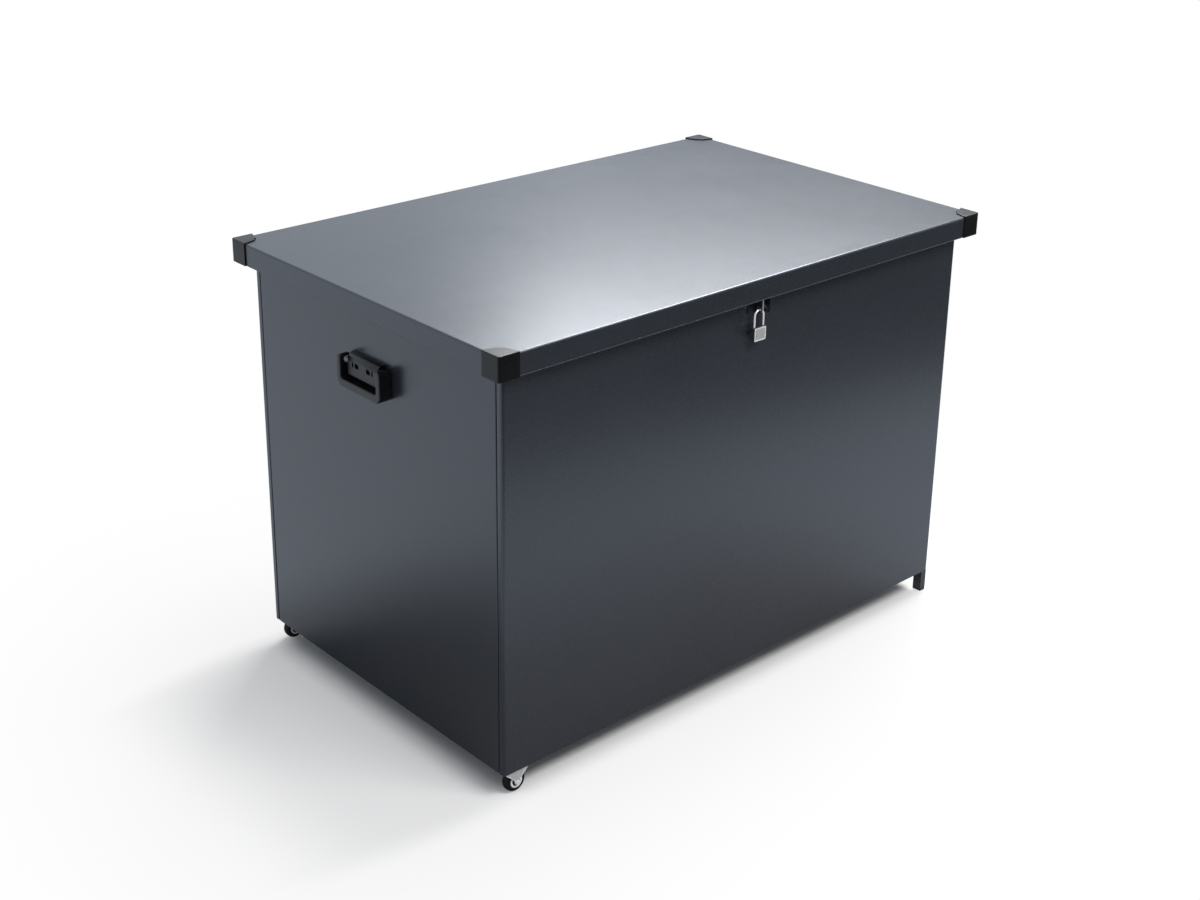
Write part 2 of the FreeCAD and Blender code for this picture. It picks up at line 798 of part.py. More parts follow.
def strut_bracket():
    """Left strut's bracket under the lid, just outside the rod's eye, which stays clear of it."""
    near = -strut_eye / 2 - strut_side_gap
    far = near - strut_plate
    top = lid_under - strut_head.z
    half = bracket_width / 2
    corners = [
        (strut_head.y - half, lid_under, 0), (strut_head.y + half, lid_under, 0),
        (strut_head.y + strut_eye_radius, strut_head.z - strut_eye_radius, strut_eye_radius / 2),
        (strut_head.y - strut_eye_radius, strut_head.z - strut_eye_radius, strut_eye_radius / 2),
    ]
    plate = prism("yz", corners, strut_x + far, strut_x + near)
    foot_low = strut_head + V(near - bracket_foot, -half, top - strut_plate)
    flange = Part.makeBox(bracket_foot, bracket_width, strut_plate, foot_low)
    return fused(plate, flange, cross_rod(strut_head, far - strut_plate, far, strut_eye_radius / 2))


def padlock_shackle():
    """Shackle with one long and one short leg."""
    centre = V(padlock_x, padlock_y, arch_centre)
    right = centre + V(arch_radius, 0, 0)
    left = centre - V(arch_radius, 0, 0)
    wire = Part.Face(Part.Wire(Part.makeCircle(shackle_radius, right, V(0, 0, 1))))
    arch = wire.revolve(centre, V(0, -1, 0), 180)
    return fused(
        arch,
        rod_between(V(left.x, left.y, padlock_top - long_leg), left, shackle_radius),
        rod_between(V(right.x, right.y, padlock_top - short_leg), right, shackle_radius),
    )


def padlock_body():
    """Padlock case with leg holes, a plug bore and a shallow panel on its face."""
    half = padlock_width / 2
    low = padlock_top - padlock_body_height
    front = padlock_y - padlock_thickness / 2
    radius = padlock_edge_radius

    def plate(margin, start, stop):
        corners = [
            (padlock_x - half + margin, low + margin, radius), (padlock_x + half - margin, low + margin, radius),
            (padlock_x + half - margin, padlock_top - margin, radius),
            (padlock_x - half + margin, padlock_top - margin, radius),
        ]
        return prism("xz", corners, start, stop)

    case = plate(0, front, front + padlock_thickness)
    cuts = [plate(padlock_face_margin, front, front + padlock_face_recess)]
    for side, depth in ((-1, long_leg), (1, short_leg)):
        hole = V(padlock_x + side * arch_radius, padlock_y, padlock_top - depth - slip_fit)
        cuts.append(rod_between(hole, V(hole.x, hole.y, padlock_top), shackle_radius + running_fit))
    plug = V(padlock_x, padlock_y, low)
    cuts.append(rod_between(plug, plug + V(0, 0, plug_length + slip_fit), plug_radius + running_fit))
    return case.cut(cuts)


def padlock_plug():
    """Key plug with its keyway."""
    low = V(padlock_x, padlock_y, padlock_top - padlock_body_height)
    plug = rod_between(low, low + V(0, 0, plug_length), plug_radius)
    half_x, half_y = keyway_length / 2, keyway_width / 2
    keyway = Part.makeBox(keyway_length, keyway_width, keyway_depth, low - V(half_x, half_y, 0))
    return plug.cut(keyway)


def build():
    """Every node by name."""
    front, left = long_panel(), end_panel()
    right = mirrored_x(left)
    floor_spots = [share * lid_length / 2 for share in (-stiffener_spread_share, 0, stiffener_spread_share)]
    lid_spots = [floor_spots[0], floor_spots[2]]
    floor_half = body_y - rim_width - stiffener_end_gap
    nodes = {
        "front_panel": front,
        "rear_panel": mirrored_y(front),
        "left_end_panel": drilled(left, all_spots()),
        "right_end_panel": drilled(right, all_spots()),
        "floor_pan": floor_pan(),
        "floor_stiffeners": stiffeners(floor_under, -stiffener_height, floor_half, floor_spots),
        "seam_seals": seam_seals(),
        "rim_gasket": rim_gasket(),
        "hasp_staple": hasp_staple(),
        "lid_shell": lid_shell(),
        "lid_stiffeners": stiffeners(lid_under, -stiffener_height, floor_half, lid_spots),
        "lid_eye": lid_eye(),
        "padlock_shackle": padlock_shackle(),
        "padlock_body": padlock_body(),
        "padlock_plug": padlock_plug(),
        "foot_glides": foot_glides(),
    }
    cap = corner_cap()
    for depth_name, across in (("front", lambda shape: shape), ("rear", mirrored_y)):
        nodes["lid_cap_%s_left" % depth_name] = across(cap)
        nodes["lid_cap_%s_right" % depth_name] = mirrored_x(across(cap))
        nodes["%s_caster_fork" % depth_name] = across(caster_fork())
        nodes["%s_caster_axle" % depth_name] = across(caster_axle())
        nodes["%s_caster_tyre" % depth_name] = across(caster_tyre())
        nodes["%s_caster_hub" % depth_name] = across(caster_hub())
        nodes["%s_foot" % depth_name] = across(foot())
        caster_places, foot_places = bolt_spots(depth_name == "front")
        nodes["%s_caster_bolts" % depth_name] = bolts(caster_places, body_bottom - fork_sheet)
        nodes["%s_foot_bolts" % depth_name] = bolts(foot_places, body_bottom - foot_plate_thickness)
    for end_name, along in (("left", lambda shape: shape), ("right", mirrored_x)):
        nodes["%s_handle_base" % end_name] = along(handle_base())
        nodes["%s_handle_bail" % end_name] = along(handle_bail())
        nodes["%s_handle_pins" % end_name] = along(handle_pins())
        nodes["%s_handle_screws" % end_name] = along(handle_screws())
        nodes["%s_strut_anchor" % end_name] = along(strut_anchor())
        nodes["%s_strut_tube" % end_name] = along(strut_tube())
        nodes["%s_strut_rod" % end_name] = along(strut_rod())
        nodes["%s_strut_bracket" % end_name] = along(strut_bracket())
        x = -hinge_x if end_name == "left" else hinge_x
        nodes["%s_hinge_chest_leaf" % end_name] = hinge_chest_leaf(x)
        nodes["%s_hinge_lid_leaf" % end_name] = hinge_lid_leaf(x)
        nodes["%s_hinge_pin" % end_name] = hinge_pin(x)
    return nodes


def main():
    os.makedirs("parts", exist_ok=True)
    for name, shape in build().items():
        solids = len(shape.Solids)
        if solids < 1 or not shape.isValid():
            raise ValueError("%s came out with %d solids" % (name, solids))
        shape.exportStep("parts/%s.step" % name)
        print("%s: solids %d, volume %.0f" % (name, solids, shape.Volume))


main()
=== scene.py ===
import json
import logging
import math
from dataclasses import dataclass
from enum import Enum
from functools import lru_cache
from typing import Any, Callable, Iterable, Sequence

import bmesh
import bpy
from mathutils import Matrix, Vector

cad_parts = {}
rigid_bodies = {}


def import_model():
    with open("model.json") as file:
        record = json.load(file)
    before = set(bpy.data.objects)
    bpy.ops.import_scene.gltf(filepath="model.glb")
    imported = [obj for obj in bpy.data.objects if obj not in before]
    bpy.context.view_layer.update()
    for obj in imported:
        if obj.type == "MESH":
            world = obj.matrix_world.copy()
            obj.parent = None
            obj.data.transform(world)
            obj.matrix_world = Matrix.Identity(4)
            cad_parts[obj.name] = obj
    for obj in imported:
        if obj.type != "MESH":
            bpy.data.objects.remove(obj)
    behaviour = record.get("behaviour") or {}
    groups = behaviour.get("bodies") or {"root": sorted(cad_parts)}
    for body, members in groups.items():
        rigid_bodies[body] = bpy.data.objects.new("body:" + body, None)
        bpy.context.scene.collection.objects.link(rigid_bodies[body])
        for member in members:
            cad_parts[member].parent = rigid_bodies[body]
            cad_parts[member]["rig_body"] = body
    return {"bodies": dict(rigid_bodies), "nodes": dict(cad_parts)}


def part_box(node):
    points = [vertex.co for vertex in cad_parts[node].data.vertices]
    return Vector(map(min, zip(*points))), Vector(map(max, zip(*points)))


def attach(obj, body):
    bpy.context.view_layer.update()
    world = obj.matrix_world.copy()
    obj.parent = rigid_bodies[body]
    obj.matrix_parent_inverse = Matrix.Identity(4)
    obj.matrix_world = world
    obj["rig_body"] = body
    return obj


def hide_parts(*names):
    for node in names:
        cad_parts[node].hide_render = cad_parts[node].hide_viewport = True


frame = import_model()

MM = 0.001
NOISE_MEAN = 0.5
GRAIN_ROUGH = 0.6
CLOUD_DETAIL = 3.0
PATCH_DETAIL = 4.0
WHITE = (1.0, 1.0, 1.0)
LOG = logging.getLogger("storage_box")
Y, Z = Vector((0, 1, 0)), Vector((0, 0, 1))
Colour = tuple[float, float, float]
Point = tuple[float, float]
Corner = tuple[float, float, float]
Place = Callable[[float, float, float], Vector]
Mesh = bmesh.types.BMesh


class Whereabouts(Enum):
    """Places on the box whose words start the names of pieces."""

    @property
    def label(self) -> str:
        """Word that starts the names of the pieces at this place."""
        return self.name.lower()


class End(Whereabouts):
    """The two ends of the chest along its length."""

    LEFT = -1
    RIGHT = 1


class Side(Whereabouts):
    """The two long sides of the chest."""

    FRONT = -1
    REAR = 1


class Ease(Enum):
    """Widths, in millimetres, by which the sharp edges of kept nodes are rounded over."""

    NONE = 0.0
    THIN = 0.3
    SMALL = 0.4
    PLATE = 0.5
    LARGE = 0.8


class Value:
    """A socket of a finish's node tree that joins in sums written as Python."""

    def __init__(self, graph: "Graph", socket: bpy.types.NodeSocket) -> None:
        """Keeps the tree and the output socket."""
        self.graph = graph
        self.socket = socket

    def math(self, operation: str, first: Any, second: Any = 0.0) -> "Value":
        """Result of one Math node on two values or numbers."""
        return self.graph.add("ShaderNodeMath", {"operation": operation}, {0: first, 1: second})

    def __add__(self, other: Any) -> "Value":
        """Sum."""
        return self.math("ADD", self, other)

    def __radd__(self, other: Any) -> "Value":
        """Sum with the number first."""
        return self.math("ADD", other, self)

    def __sub__(self, other: Any) -> "Value":
        """Difference."""
        return self.math("SUBTRACT", self, other)

    def __rsub__(self, other: Any) -> "Value":
        """Difference with the number first."""
        return self.math("SUBTRACT", other, self)

    def __mul__(self, other: Any) -> "Value":
        """Product."""
        return self.math("MULTIPLY", self, other)

    def __rmul__(self, other: Any) -> "Value":
        """Product with the number first."""
        return self.math("MULTIPLY", other, self)

    def __pow__(self, other: Any) -> "Value":
        """Power."""
        return self.math("POWER", self, other)

    def __rpow__(self, other: Any) -> "Value":
        """Power with the number first."""
        return self.math("POWER", other, self)

    def __abs__(self) -> "Value":
        """Size without its sign."""
        return self.math("ABSOLUTE", self)

    def larger(self, other: Any) -> "Value":
        """The larger of two values."""
        return self.math("MAXIMUM", self, other)


class Graph:
    """Node tree of one finish, filled through a single method that makes any node."""

    def __init__(self, tree: bpy.types.NodeTree) -> None:
        """Empties the tree."""
        self.tree = tree
        tree.nodes.clear()

    def add(
        self, kind: str, settings: dict | None = None, inputs: dict | None = None, out: Any = 0
    ) -> Any:
        """Makes a node.

        Args:
            kind: Blender's name of the node type.
            settings: Attributes that are set first.
            inputs: Values, numbers or colours by socket name or index.
            out: Name or index of the output wanted, or None for a node without one.

        Returns:
            The output as a value, or the node itself where out is None.
        """
        node = self.tree.nodes.new(kind)
        for name, setting in (settings or {}).items():
            setattr(node, name, setting)
        for key, value in (inputs or {}).items():
            self.feed(node.inputs[key], value)
        return node if out is None else Value(self, node.outputs[out])

    def feed(self, socket: bpy.types.NodeSocket, value: Any) -> None:
        """Links a value to a socket or sets its number or colour.

        Args:
            socket: Input to feed.
            value: Value, number or colour.
        """
        if isinstance(value, Value):
            self.tree.links.new(value.socket, socket)
        elif socket.type == "RGBA":
            socket.default_value = (*value, 1.0)
        else:
            socket.default_value = value

    def place(self) -> Value:
        """Place on the piece in metres, which moves with it."""
        return self.add("ShaderNodeTexCoord", out="Object")

    def stretched(self, place: Value, scale: Corner) -> Value:
        """Place scaled by a different factor along each axis."""
        return self.add("ShaderNodeVectorMath", {"operation": "MULTIPLY"}, {0: place, 1: scale})

    def noise(self, place: Value, size: float, detail: float = 2.0, rough: float = 0.5) -> Value:
        """Cloudy pattern.

        Args:
            place: Where the pattern is read.
            size: Size of its lumps in metres.
            detail: Number of finer layers.
            rough: Share of each finer layer.

        Returns:
            A value about the noise's mean.
        """
        return self.add(
            "ShaderNodeTexNoise",
            {"noise_dimensions": "3D"},
            {"Vector": place, "Scale": 1.0 / size, "Detail": detail, "Roughness": rough},
        )

    def eased(self, value: Value, low: float, high: float) -> Value:
        """Soft step from 0 at low to 1 at high."""
        return self.add(
            "ShaderNodeMapRange",
            {"interpolation_type": "SMOOTHSTEP"},
            {"Value": value, "From Min": low, "From Max": high},
        )

    def mix(self, share: Any, first: Any, second: Any) -> Value:
        """Colour between two colours."""
        return self.add("ShaderNodeMix", {"data_type": "RGBA"}, {0: share, 6: first, 7: second}, out=2)

    def bump(self, height: Value, strength: float, depth: float) -> Value:
        """Normal of a height pattern of a depth in metres."""
        inputs = {"Strength": strength, "Distance": depth, "Height": height}
        return self.add("ShaderNodeBump", None, inputs, out="Normal")

    def principled(self, sockets: dict) -> Value:
        """Surface shader from its sockets by name."""
        return self.add("ShaderNodeBsdfPrincipled", None, sockets)


@dataclass(frozen=True)
class Finish:
    """A surface finish, by its colour and gloss."""

    name: str
    slot: str
    colour: Colour
    roughness: float

    def shade(self, share: float) -> Colour:
        """The finish's colour, lighter or darker by a share."""
        return tuple(min(1.0, channel * share) for channel in self.colour)

    def gloss(self, patterns: Sequence[Value], swings: Sequence[float]) -> Value:
        """Roughness that follows patterns.

        Args:
            patterns: Cloudy patterns.
            swings: How much each of them changes the roughness.

        Returns:
            The roughness.
        """
        rough = self.roughness
        for pattern, swing in zip(patterns, swings):
            rough = rough + (pattern - NOISE_MEAN) * swing
        return rough

    def dress(self, graph: Graph) -> Value:
        """Fills the node tree.

        Args:
            graph: Tree to fill.

        Returns:
            The surface shader.
        """
        raise NotImplementedError


def new_material(name: str, surface: Callable[[Graph], Value]) -> bpy.types.Material:
    """Makes a material.

    Args:
        name: Its name.
        surface: Fills its node tree and returns the shader.

    Returns:
        The material.
    """
    material = bpy.data.materials.new(name)
    material.use_nodes = True
    graph = Graph(material.node_tree)
    graph.add("ShaderNodeOutputMaterial", None, {"Surface": surface(graph)}, out=None)
    return material


@lru_cache(maxsize=None)
def material_of(finish: Finish) -> bpy.types.Material:
    """The material of a finish, made once."""
    return new_material(finish.name, finish.dress)


@dataclass(frozen=True)
class PowderCoat(Finish):
    """Satin powder coat on sheet steel: fine grain, slight orange peel and faint clouds."""

    index: float = 1.5
    tint: Colour = WHITE
    grain: float = 0.0011
    peel: float = 0.006
    cloud: float = 0.22
    cloud_span: Point = (0.3, 0.7)
    cloud_shades: Point = (0.94, 1.06)
    fleck_span: Point = (0.4, 0.75)
    fleck_shade: float = 1.45
    gloss_swings: Point = (0.04, 0.1)
    relief_shares: Point = (0.7, 0.3)
    relief: Point = (0.14, 0.0004)

    def dress(self, graph: Graph) -> Value:
        """Fills the node tree.

        Args:
            graph: Tree to fill.

        Returns:
            The surface shader.
        """
        place = graph.place()
        grain = graph.noise(place, self.grain, rough=GRAIN_ROUGH)
        peel = graph.noise(place, self.peel)
        cloud = graph.noise(place, self.cloud, CLOUD_DETAIL)
        tone = graph.mix(graph.eased(cloud, *self.cloud_span), *map(self.shade, self.cloud_shades))
        colour = graph.mix(graph.eased(grain, *self.fleck_span), tone, self.shade(self.fleck_shade))
        rough = self.gloss((cloud, grain), self.gloss_swings)
        grain_share, peel_share = self.relief_shares
        normal = graph.bump(grain * grain_share + peel * peel_share, *self.relief)
        sockets = {"Base Color": colour, "Roughness": rough, "Normal": normal}
        return graph.principled({**sockets, "IOR": self.index, "Specular Tint": self.tint})


@dataclass(frozen=True)
class MouldedPlastic(Finish):
    """Moulded plastic with a fine spark-eroded grain."""

    index: float = 1.45
    grain: float = 0.0007
    cloud: float = 0.03
    grain_span: Point = (0.3, 0.8)
    grain_share: float = 0.6
    grain_shades: Point = (0.85, 1.3)
    gloss_swings: Point = (0.12, 0.1)
    relief: Point = (0.25, 0.0002)

    def dress(self, graph: Graph) -> Value:
        """Fills the node tree.

        Args:
            graph: Tree to fill.

        Returns:
            The surface shader.
        """
        place = graph.place()
        grain = graph.noise(place, self.grain, rough=GRAIN_ROUGH)
        cloud = graph.noise(place, self.cloud, CLOUD_DETAIL)
        share = graph.eased(grain, *self.grain_span) * self.grain_share
        colour = graph.mix(share, *map(self.shade, self.grain_shades))
        rough = self.gloss((cloud, grain), self.gloss_swings)
        sockets = {"Base Color": colour, "Roughness": rough, "Normal": graph.bump(grain, *self.relief)}
        return graph.principled({**sockets, "IOR": self.index})


@dataclass(frozen=True)
class Rubber(Finish):
    """Matt rubber with dusty patches."""

    dust: Colour = (0.06, 0.058, 0.055)
    index: float = 1.3
    patch: float = 0.012
    patch_span: Point = (0.5, 0.8)
    patch_share: float = 0.35
    patch_gloss: float = 0.1
    grain: float = 0.0006
    relief: Point = (0.3, 0.0002)

    def dress(self, graph: Graph) -> Value:
        """Fills the node tree.

        Args:
            graph: Tree to fill.

        Returns:
            The surface shader.
        """
        place = graph.place()
        patches = graph.noise(place, self.patch, PATCH_DETAIL, GRAIN_ROUGH)
        dust = graph.eased(patches, *self.patch_span)
        colour = graph.mix(dust * self.patch_share, self.colour, self.dust)
        rough = self.roughness + dust * self.patch_gloss
        normal = graph.bump(graph.noise(place, self.grain), *self.relief)
        sockets = {"Base Color": colour, "Roughness": rough, "Normal": normal}
        return graph.principled({**sockets, "IOR": self.index})


@dataclass(frozen=True)
class BareMetal(Finish):
    """Plated or polished metal with faint drawn lines and dull patches."""

    lines: Corner = (1.0, 1.0, 1.0)
    metal: float = 1.0
    pitch: float = 0.0011
    patch: float = 0.006
    patch_span: Point = (0.35, 0.75)
    patch_shade: float = 0.82
    gloss_swings: Point = (0.16, 0.12)
    relief: Point = (0.2, 0.00008)

    def dress(self, graph: Graph) -> Value:
        """Fills the node tree.

        Args:
            graph: Tree to fill.

        Returns:
            The surface shader.
        """
        place = graph.place()
        drawn = graph.noise(graph.stretched(place, self.lines), self.pitch, CLOUD_DETAIL, GRAIN_ROUGH)
        dull = graph.noise(place, self.patch, CLOUD_DETAIL)
        share = graph.eased(dull, *self.patch_span)
        colour = graph.mix(share, self.colour, self.shade(self.patch_shade))
        rough = self.gloss((dull, drawn), self.gloss_swings)
        sockets = {"Base Color": colour, "Roughness": rough, "Normal": graph.bump(drawn, *self.relief)}
        return graph.principled({**sockets, "Metallic": self.metal})


@dataclass(frozen=True)
class WornCoat(Finish):
    """Black coat with a bare-metal stripe along the front edge, a painted highlight on that edge."""

    bare: Colour = (0.42, 0.42, 0.41)
    bare_metal: float = 0.7
    edge_place: float = -0.3797
    edge_width: float = 0.0008
    scuff: float = 0.0022
    scuff_reach: float = 0.001
    scuff_gloss: float = 0.2
    grain: float = 0.0007
    grain_shades: Point = (0.7, 1.3)
    relief: Point = (0.2, 0.0001)

    def dress(self, graph: Graph) -> Value:
        """Fills the node tree.

        Args:
            graph: Tree to fill.

        Returns:
            The surface shader.
        """
        place = graph.place()
        scuffs = graph.noise(place, self.scuff, PATCH_DETAIL, GRAIN_ROUGH)
        depth = graph.add("ShaderNodeSeparateXYZ", None, {0: place}, out="Y")
        ragged = depth + (scuffs - NOISE_MEAN) * self.scuff_reach
        # Bare-metal stripe along the front edge: a painted highlight, with a ragged inner edge.
        painted_highlight = 1.0 - graph.eased(ragged, self.edge_place, self.edge_place + self.edge_width)
        grain = graph.noise(place, self.grain)
        coat = graph.mix(grain, *map(self.shade, self.grain_shades))
        sockets = {"Base Color": graph.mix(painted_highlight, coat, self.bare), "Metallic": painted_highlight * self.bare_metal}
        sockets["Roughness"] = self.gloss([scuffs], [self.scuff_gloss])
        return graph.principled({**sockets, "Normal": graph.bump(grain, *self.relief)})


class Finishes:
    """Every finish on the box."""

    SHEET = PowderCoat(
        "sheet_coat", "painted_sheet", (0.0165, 0.0185, 0.0228), 0.28, 1.68, (0.82, 0.88, 1.0)
    )
    # Darker copy of the sheet coat for the lid eye and the staple base: painted shade where they sit under
    # the lid's skirt, behind the shackle.
    EYE = PowderCoat(
        "eye_coat", "painted_sheet", (0.009, 0.01, 0.0135), 0.5, 1.4, grain=0.0007, cloud=0.05
    )
    BLACK_STEEL = PowderCoat(
        "black_coat", "black_steel", (0.014, 0.014, 0.015), 0.4, grain=0.0007, cloud=0.05
    )
    CAP = MouldedPlastic("cap_moulding", "cap_plastic", (0.005, 0.005, 0.005), 0.3, 1.35)
    HANDLE = MouldedPlastic("handle_moulding", "handle_plastic", (0.006, 0.006, 0.0065), 0.34)
    HUB = MouldedPlastic("hub_moulding", "hub_plastic", (0.8, 0.8, 0.79), 0.4)
    HUB_DARK = MouldedPlastic("hub_dark_moulding", "hub_plastic", (0.008, 0.008, 0.008), 0.5)
    GLIDE = MouldedPlastic("glide_moulding", "cap_plastic", (0.012, 0.012, 0.012), 0.55)
    SEAL = Rubber("seal_rubber", "seal_rubber", (0.01, 0.01, 0.011), 0.75)
    TYRE = Rubber("tyre_rubber", "tyre_rubber", (0.005, 0.005, 0.005), 0.6, (0.03, 0.029, 0.028))
    ZINC = BareMetal("zinc_plate", "zinc_steel", (0.92, 0.92, 0.91), 0.34, metal=0.4)
    # Rougher and darker copy of the zinc for the fork's panels: the darker colour is painted shade that
    # makes the hems read as bright edges.
    DULL_ZINC = BareMetal("dull_zinc_plate", "zinc_steel", (0.6, 0.6, 0.59), 0.45, metal=0.4)
    PIN = BareMetal("pin_steel", "zinc_steel", (0.34, 0.34, 0.35), 0.42, metal=0.5)
    # Black coat of the staple's eye plate, with a painted highlight along its front edge.
    STAPLE = WornCoat("staple_coat", "black_steel", (0.01, 0.01, 0.011), 0.42)
    CHROME = BareMetal("chrome_plate", "chromed_steel", (0.8, 0.8, 0.81), 0.16)
    # Case steel painted much darker than the face, so the case's top and sides read as shaded: painted
    # shade.
    LOCK = BareMetal("lock_steel", "padlock_steel", (0.16, 0.16, 0.16), 0.34, (1.0, 1.0, 0.08), 0.9)
    LOCK_FACE = BareMetal(
        "lock_face", "padlock_steel", (0.88, 0.88, 0.87), 0.4, (0.08, 1.0, 1.0), 0.45
    )
    LOCK_PANEL = BareMetal(
        "lock_panel", "padlock_steel", (0.42, 0.42, 0.41), 0.48, (0.08, 1.0, 1.0), 0.4
    )
    SHACKLE = BareMetal("shackle_steel", "chromed_steel", (0.94, 0.94, 0.93), 0.3, metal=0.4)
    BRASS = BareMetal("plug_brass", "plug_brass", (0.62, 0.49, 0.22), 0.3)


class Extent:
    """Box of a node of the frame at rest, in millimetres."""

    def __init__(self, node: str) -> None:
        """Reads the box.

        Args:
            node: Name of the node.
        """
        low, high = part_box(node)
        self.low, self.high = low / MM, high / MM
        self.middle = (self.low + self.high) / 2
        self.size = self.high - self.low


class Form:
    """Meshes made row by row, in millimetres."""

    RIVET_SHARES = ((0.8, -0.3), (1.0, 0.0), (1.0, 0.25), (0.9, 0.6), (0.62, 0.88), (0.2, 1.0))
    RIVET_STEPS = 28
    SIGNS = ((-1, -1), (1, -1), (1, 1), (-1, 1))

    @staticmethod
    def skin(rows: Sequence[Sequence[Vector]], loop: bool = False, caps: bool = True) -> Mesh:
        """Skin over rows of points, each row closed on itself.

        Args:
            rows: Rows with the same number of points each.
            loop: Whether the last row joins the first.
            caps: Whether the first and last rows are filled.

        Returns:
            The mesh.
        """
        form = bmesh.new()
        grid = [[form.verts.new(point) for point in row] for row in rows]
        count = len(grid[0])
        for index in range(len(grid) if loop else len(grid) - 1):
            here, after = grid[index], grid[(index + 1) % len(grid)]
            for step in range(count):
                turn = (step + 1) % count
                form.faces.new((here[step], here[turn], after[turn], after[step]))
        if caps and not loop:
            form.faces.new(list(reversed(grid[0])))
            form.faces.new(grid[-1])
        bmesh.ops.recalc_face_normals(form, faces=form.faces)
        form.verts.ensure_lookup_table()
        return form

    @staticmethod
    def rounded(corners: Sequence[Corner], steps: int = 6) -> list[Point]:
        """Closed outline with an arc at each corner that has a radius.

        Args:
            corners: Points as (u, v, radius).
            steps: Steps in each arc.

        Returns:
            The outline's points.
        """
        points: list[Point] = []
        for index, (u, v, radius) in enumerate(corners):
            here = Vector((u, v))
            last = Vector(corners[index - 1][:2])
            after = Vector(corners[(index + 1) % len(corners)][:2])
            if radius <= 0:
                points.append((u, v))
                continue
            back, on = (last - here).normalized(), (after - here).normalized()
            half = back.angle(on) / 2
            middle = here + (back + on).normalized() * radius / math.sin(half)
            start = here + back * radius / math.tan(half) - middle
            stop = here + on * radius / math.tan(half) - middle
            sweep = start.angle_signed(stop)
            for step in range(steps + 1):
                turn = Matrix.Rotation(-sweep * step / steps, 2)
                points.append(tuple(middle + turn @ start))
        return points

    @staticmethod
    def rectangle(half_u: float, half_v: float, radius: float) -> list[Point]:
        """Outline of a rectangle about the origin with rounded corners."""
        return Form.rounded([(u * half_u, v * half_v, radius) for u, v in Form.SIGNS])

    @staticmethod
    def fine(outline: Sequence[Point], reach: float) -> list[Point]:
        """Outline with points added along its edges.

        Args:
            outline: Closed run of points.
            reach: Longest edge that stays.

        Returns:
            The points.
        """
        points: list[Point] = []
        for index, here in enumerate(outline):
            start, stop = Vector(here), Vector(outline[(index + 1) % len(outline)])
            count = max(1, math.ceil((stop - start).length / reach))
            points += [tuple(start.lerp(stop, step / count)) for step in range(count)]
        return points

    @staticmethod
    def inset(outline: Sequence[Point], depth: float) -> list[Point]:
        """Outline moved inwards.

        Args:
            outline: Closed run of points.
            depth: How far each edge moves.

        Returns:
            The moved points.
        """
        points = [Vector(point) for point in outline]
        runs = [here - points[index - 1] for index, here in enumerate(points)]
        area = sum(points[index - 1].cross(here) for index, here in enumerate(points))
        way = 1 if area > 0 else -1
        inward = [Vector((-run.y, run.x)).normalized() * way for run in runs]
        moved = []
        for index, here in enumerate(points):
            first, second = inward[index], inward[(index + 1) % len(points)]
            moved.append(tuple(here + (first + second) * depth / (1 + first.dot(second))))
        return moved

    @staticmethod
    def soft_levels(start: float, stop: float, radius: float, steps: int = 3) -> list[Point]:
        """Levels of a block whose two rims are rounded over.

        Args:
            start: Place of the first face.
            stop: Place of the second face.
            radius: Radius of the rims.
            steps: Steps across each rim.

        Returns:
            Pairs of (inset, place).
        """
        way = 1 if stop > start else -1
        near = []
        for step in range(steps + 1):
            turn = math.pi / 2 * step / steps
            along = start + way * radius * (1 - math.cos(turn))
            near.append((radius * (1 - math.sin(turn)), along))
        return near + [(depth, start + stop - along) for depth, along in reversed(near)]

    @staticmethod
    def stack(outline: Sequence[Point], levels: Sequence[Point], place: Place) -> Mesh:
        """Block of one outline, set in and moved along by levels.

        Args:
            outline: Closed run of (u, v) points.
            levels: Pairs of (inset, place along the block).
            place: Turns (u, v, along) into a point.

        Returns:
            The mesh.
        """
        return Form.lofted([(Form.inset(outline, depth), along) for depth, along in levels], place)

    @staticmethod
    def lofted(runs: Sequence[tuple[Sequence[Point], float]], place: Place, loop: bool = False) -> Mesh:
        """Block through several outlines.

        Args:
            runs: Outlines with the same number of points, each with its place along the block.
            place: Turns (u, v, along) into a point.
            loop: Whether the last outline joins the first.

        Returns:
            The mesh.
        """
        return Form.skin([[place(u, v, along) for u, v in run] for run, along in runs], loop)

    @staticmethod
    def pierced(
        outline: Sequence[Point], centre: Point, radius: float, span: Point, place: Place
    ) -> Mesh:
        """Plate with a round hole.

        Args:
            outline: Closed run of (u, v) points round the hole.
            centre: Middle of the hole.
            radius: Its radius.
            span: Where the plate starts and stops.
            place: Turns (u, v, along) into a point.

        Returns:
            The mesh.
        """
        middle = Vector(centre)
        ways = [(Vector(point) - middle).normalized() for point in outline]
        hole = [tuple(middle + way * radius) for way in ways]
        start, stop = span
        runs = [(outline, start), (outline, stop), (hole, stop), (hole, start)]
        return Form.lofted(runs, place, loop=True)

    @staticmethod
    def turned(
        profile: Sequence[Point], centre: Vector, axis: Vector, ring: bool = False, steps: int = 64
    ) -> Mesh:
        """Profile turned about an axis.

        Args:
            profile: Run of (radius, along) points.
            centre: Place of the axis.
            axis: Unit vector along it.
            ring: Whether the profile is closed; otherwise its ends are filled.
            steps: Number of steps round the turn.

        Returns:
            The mesh.
        """
        across = axis.orthogonal().normalized()
        spokes = [Matrix.Rotation(math.tau * step / steps, 3, axis) @ across for step in range(steps)]
        rows = [[centre + spoke * radius + axis * along for spoke in spokes] for radius, along in profile]
        return Form.skin(rows, loop=ring)

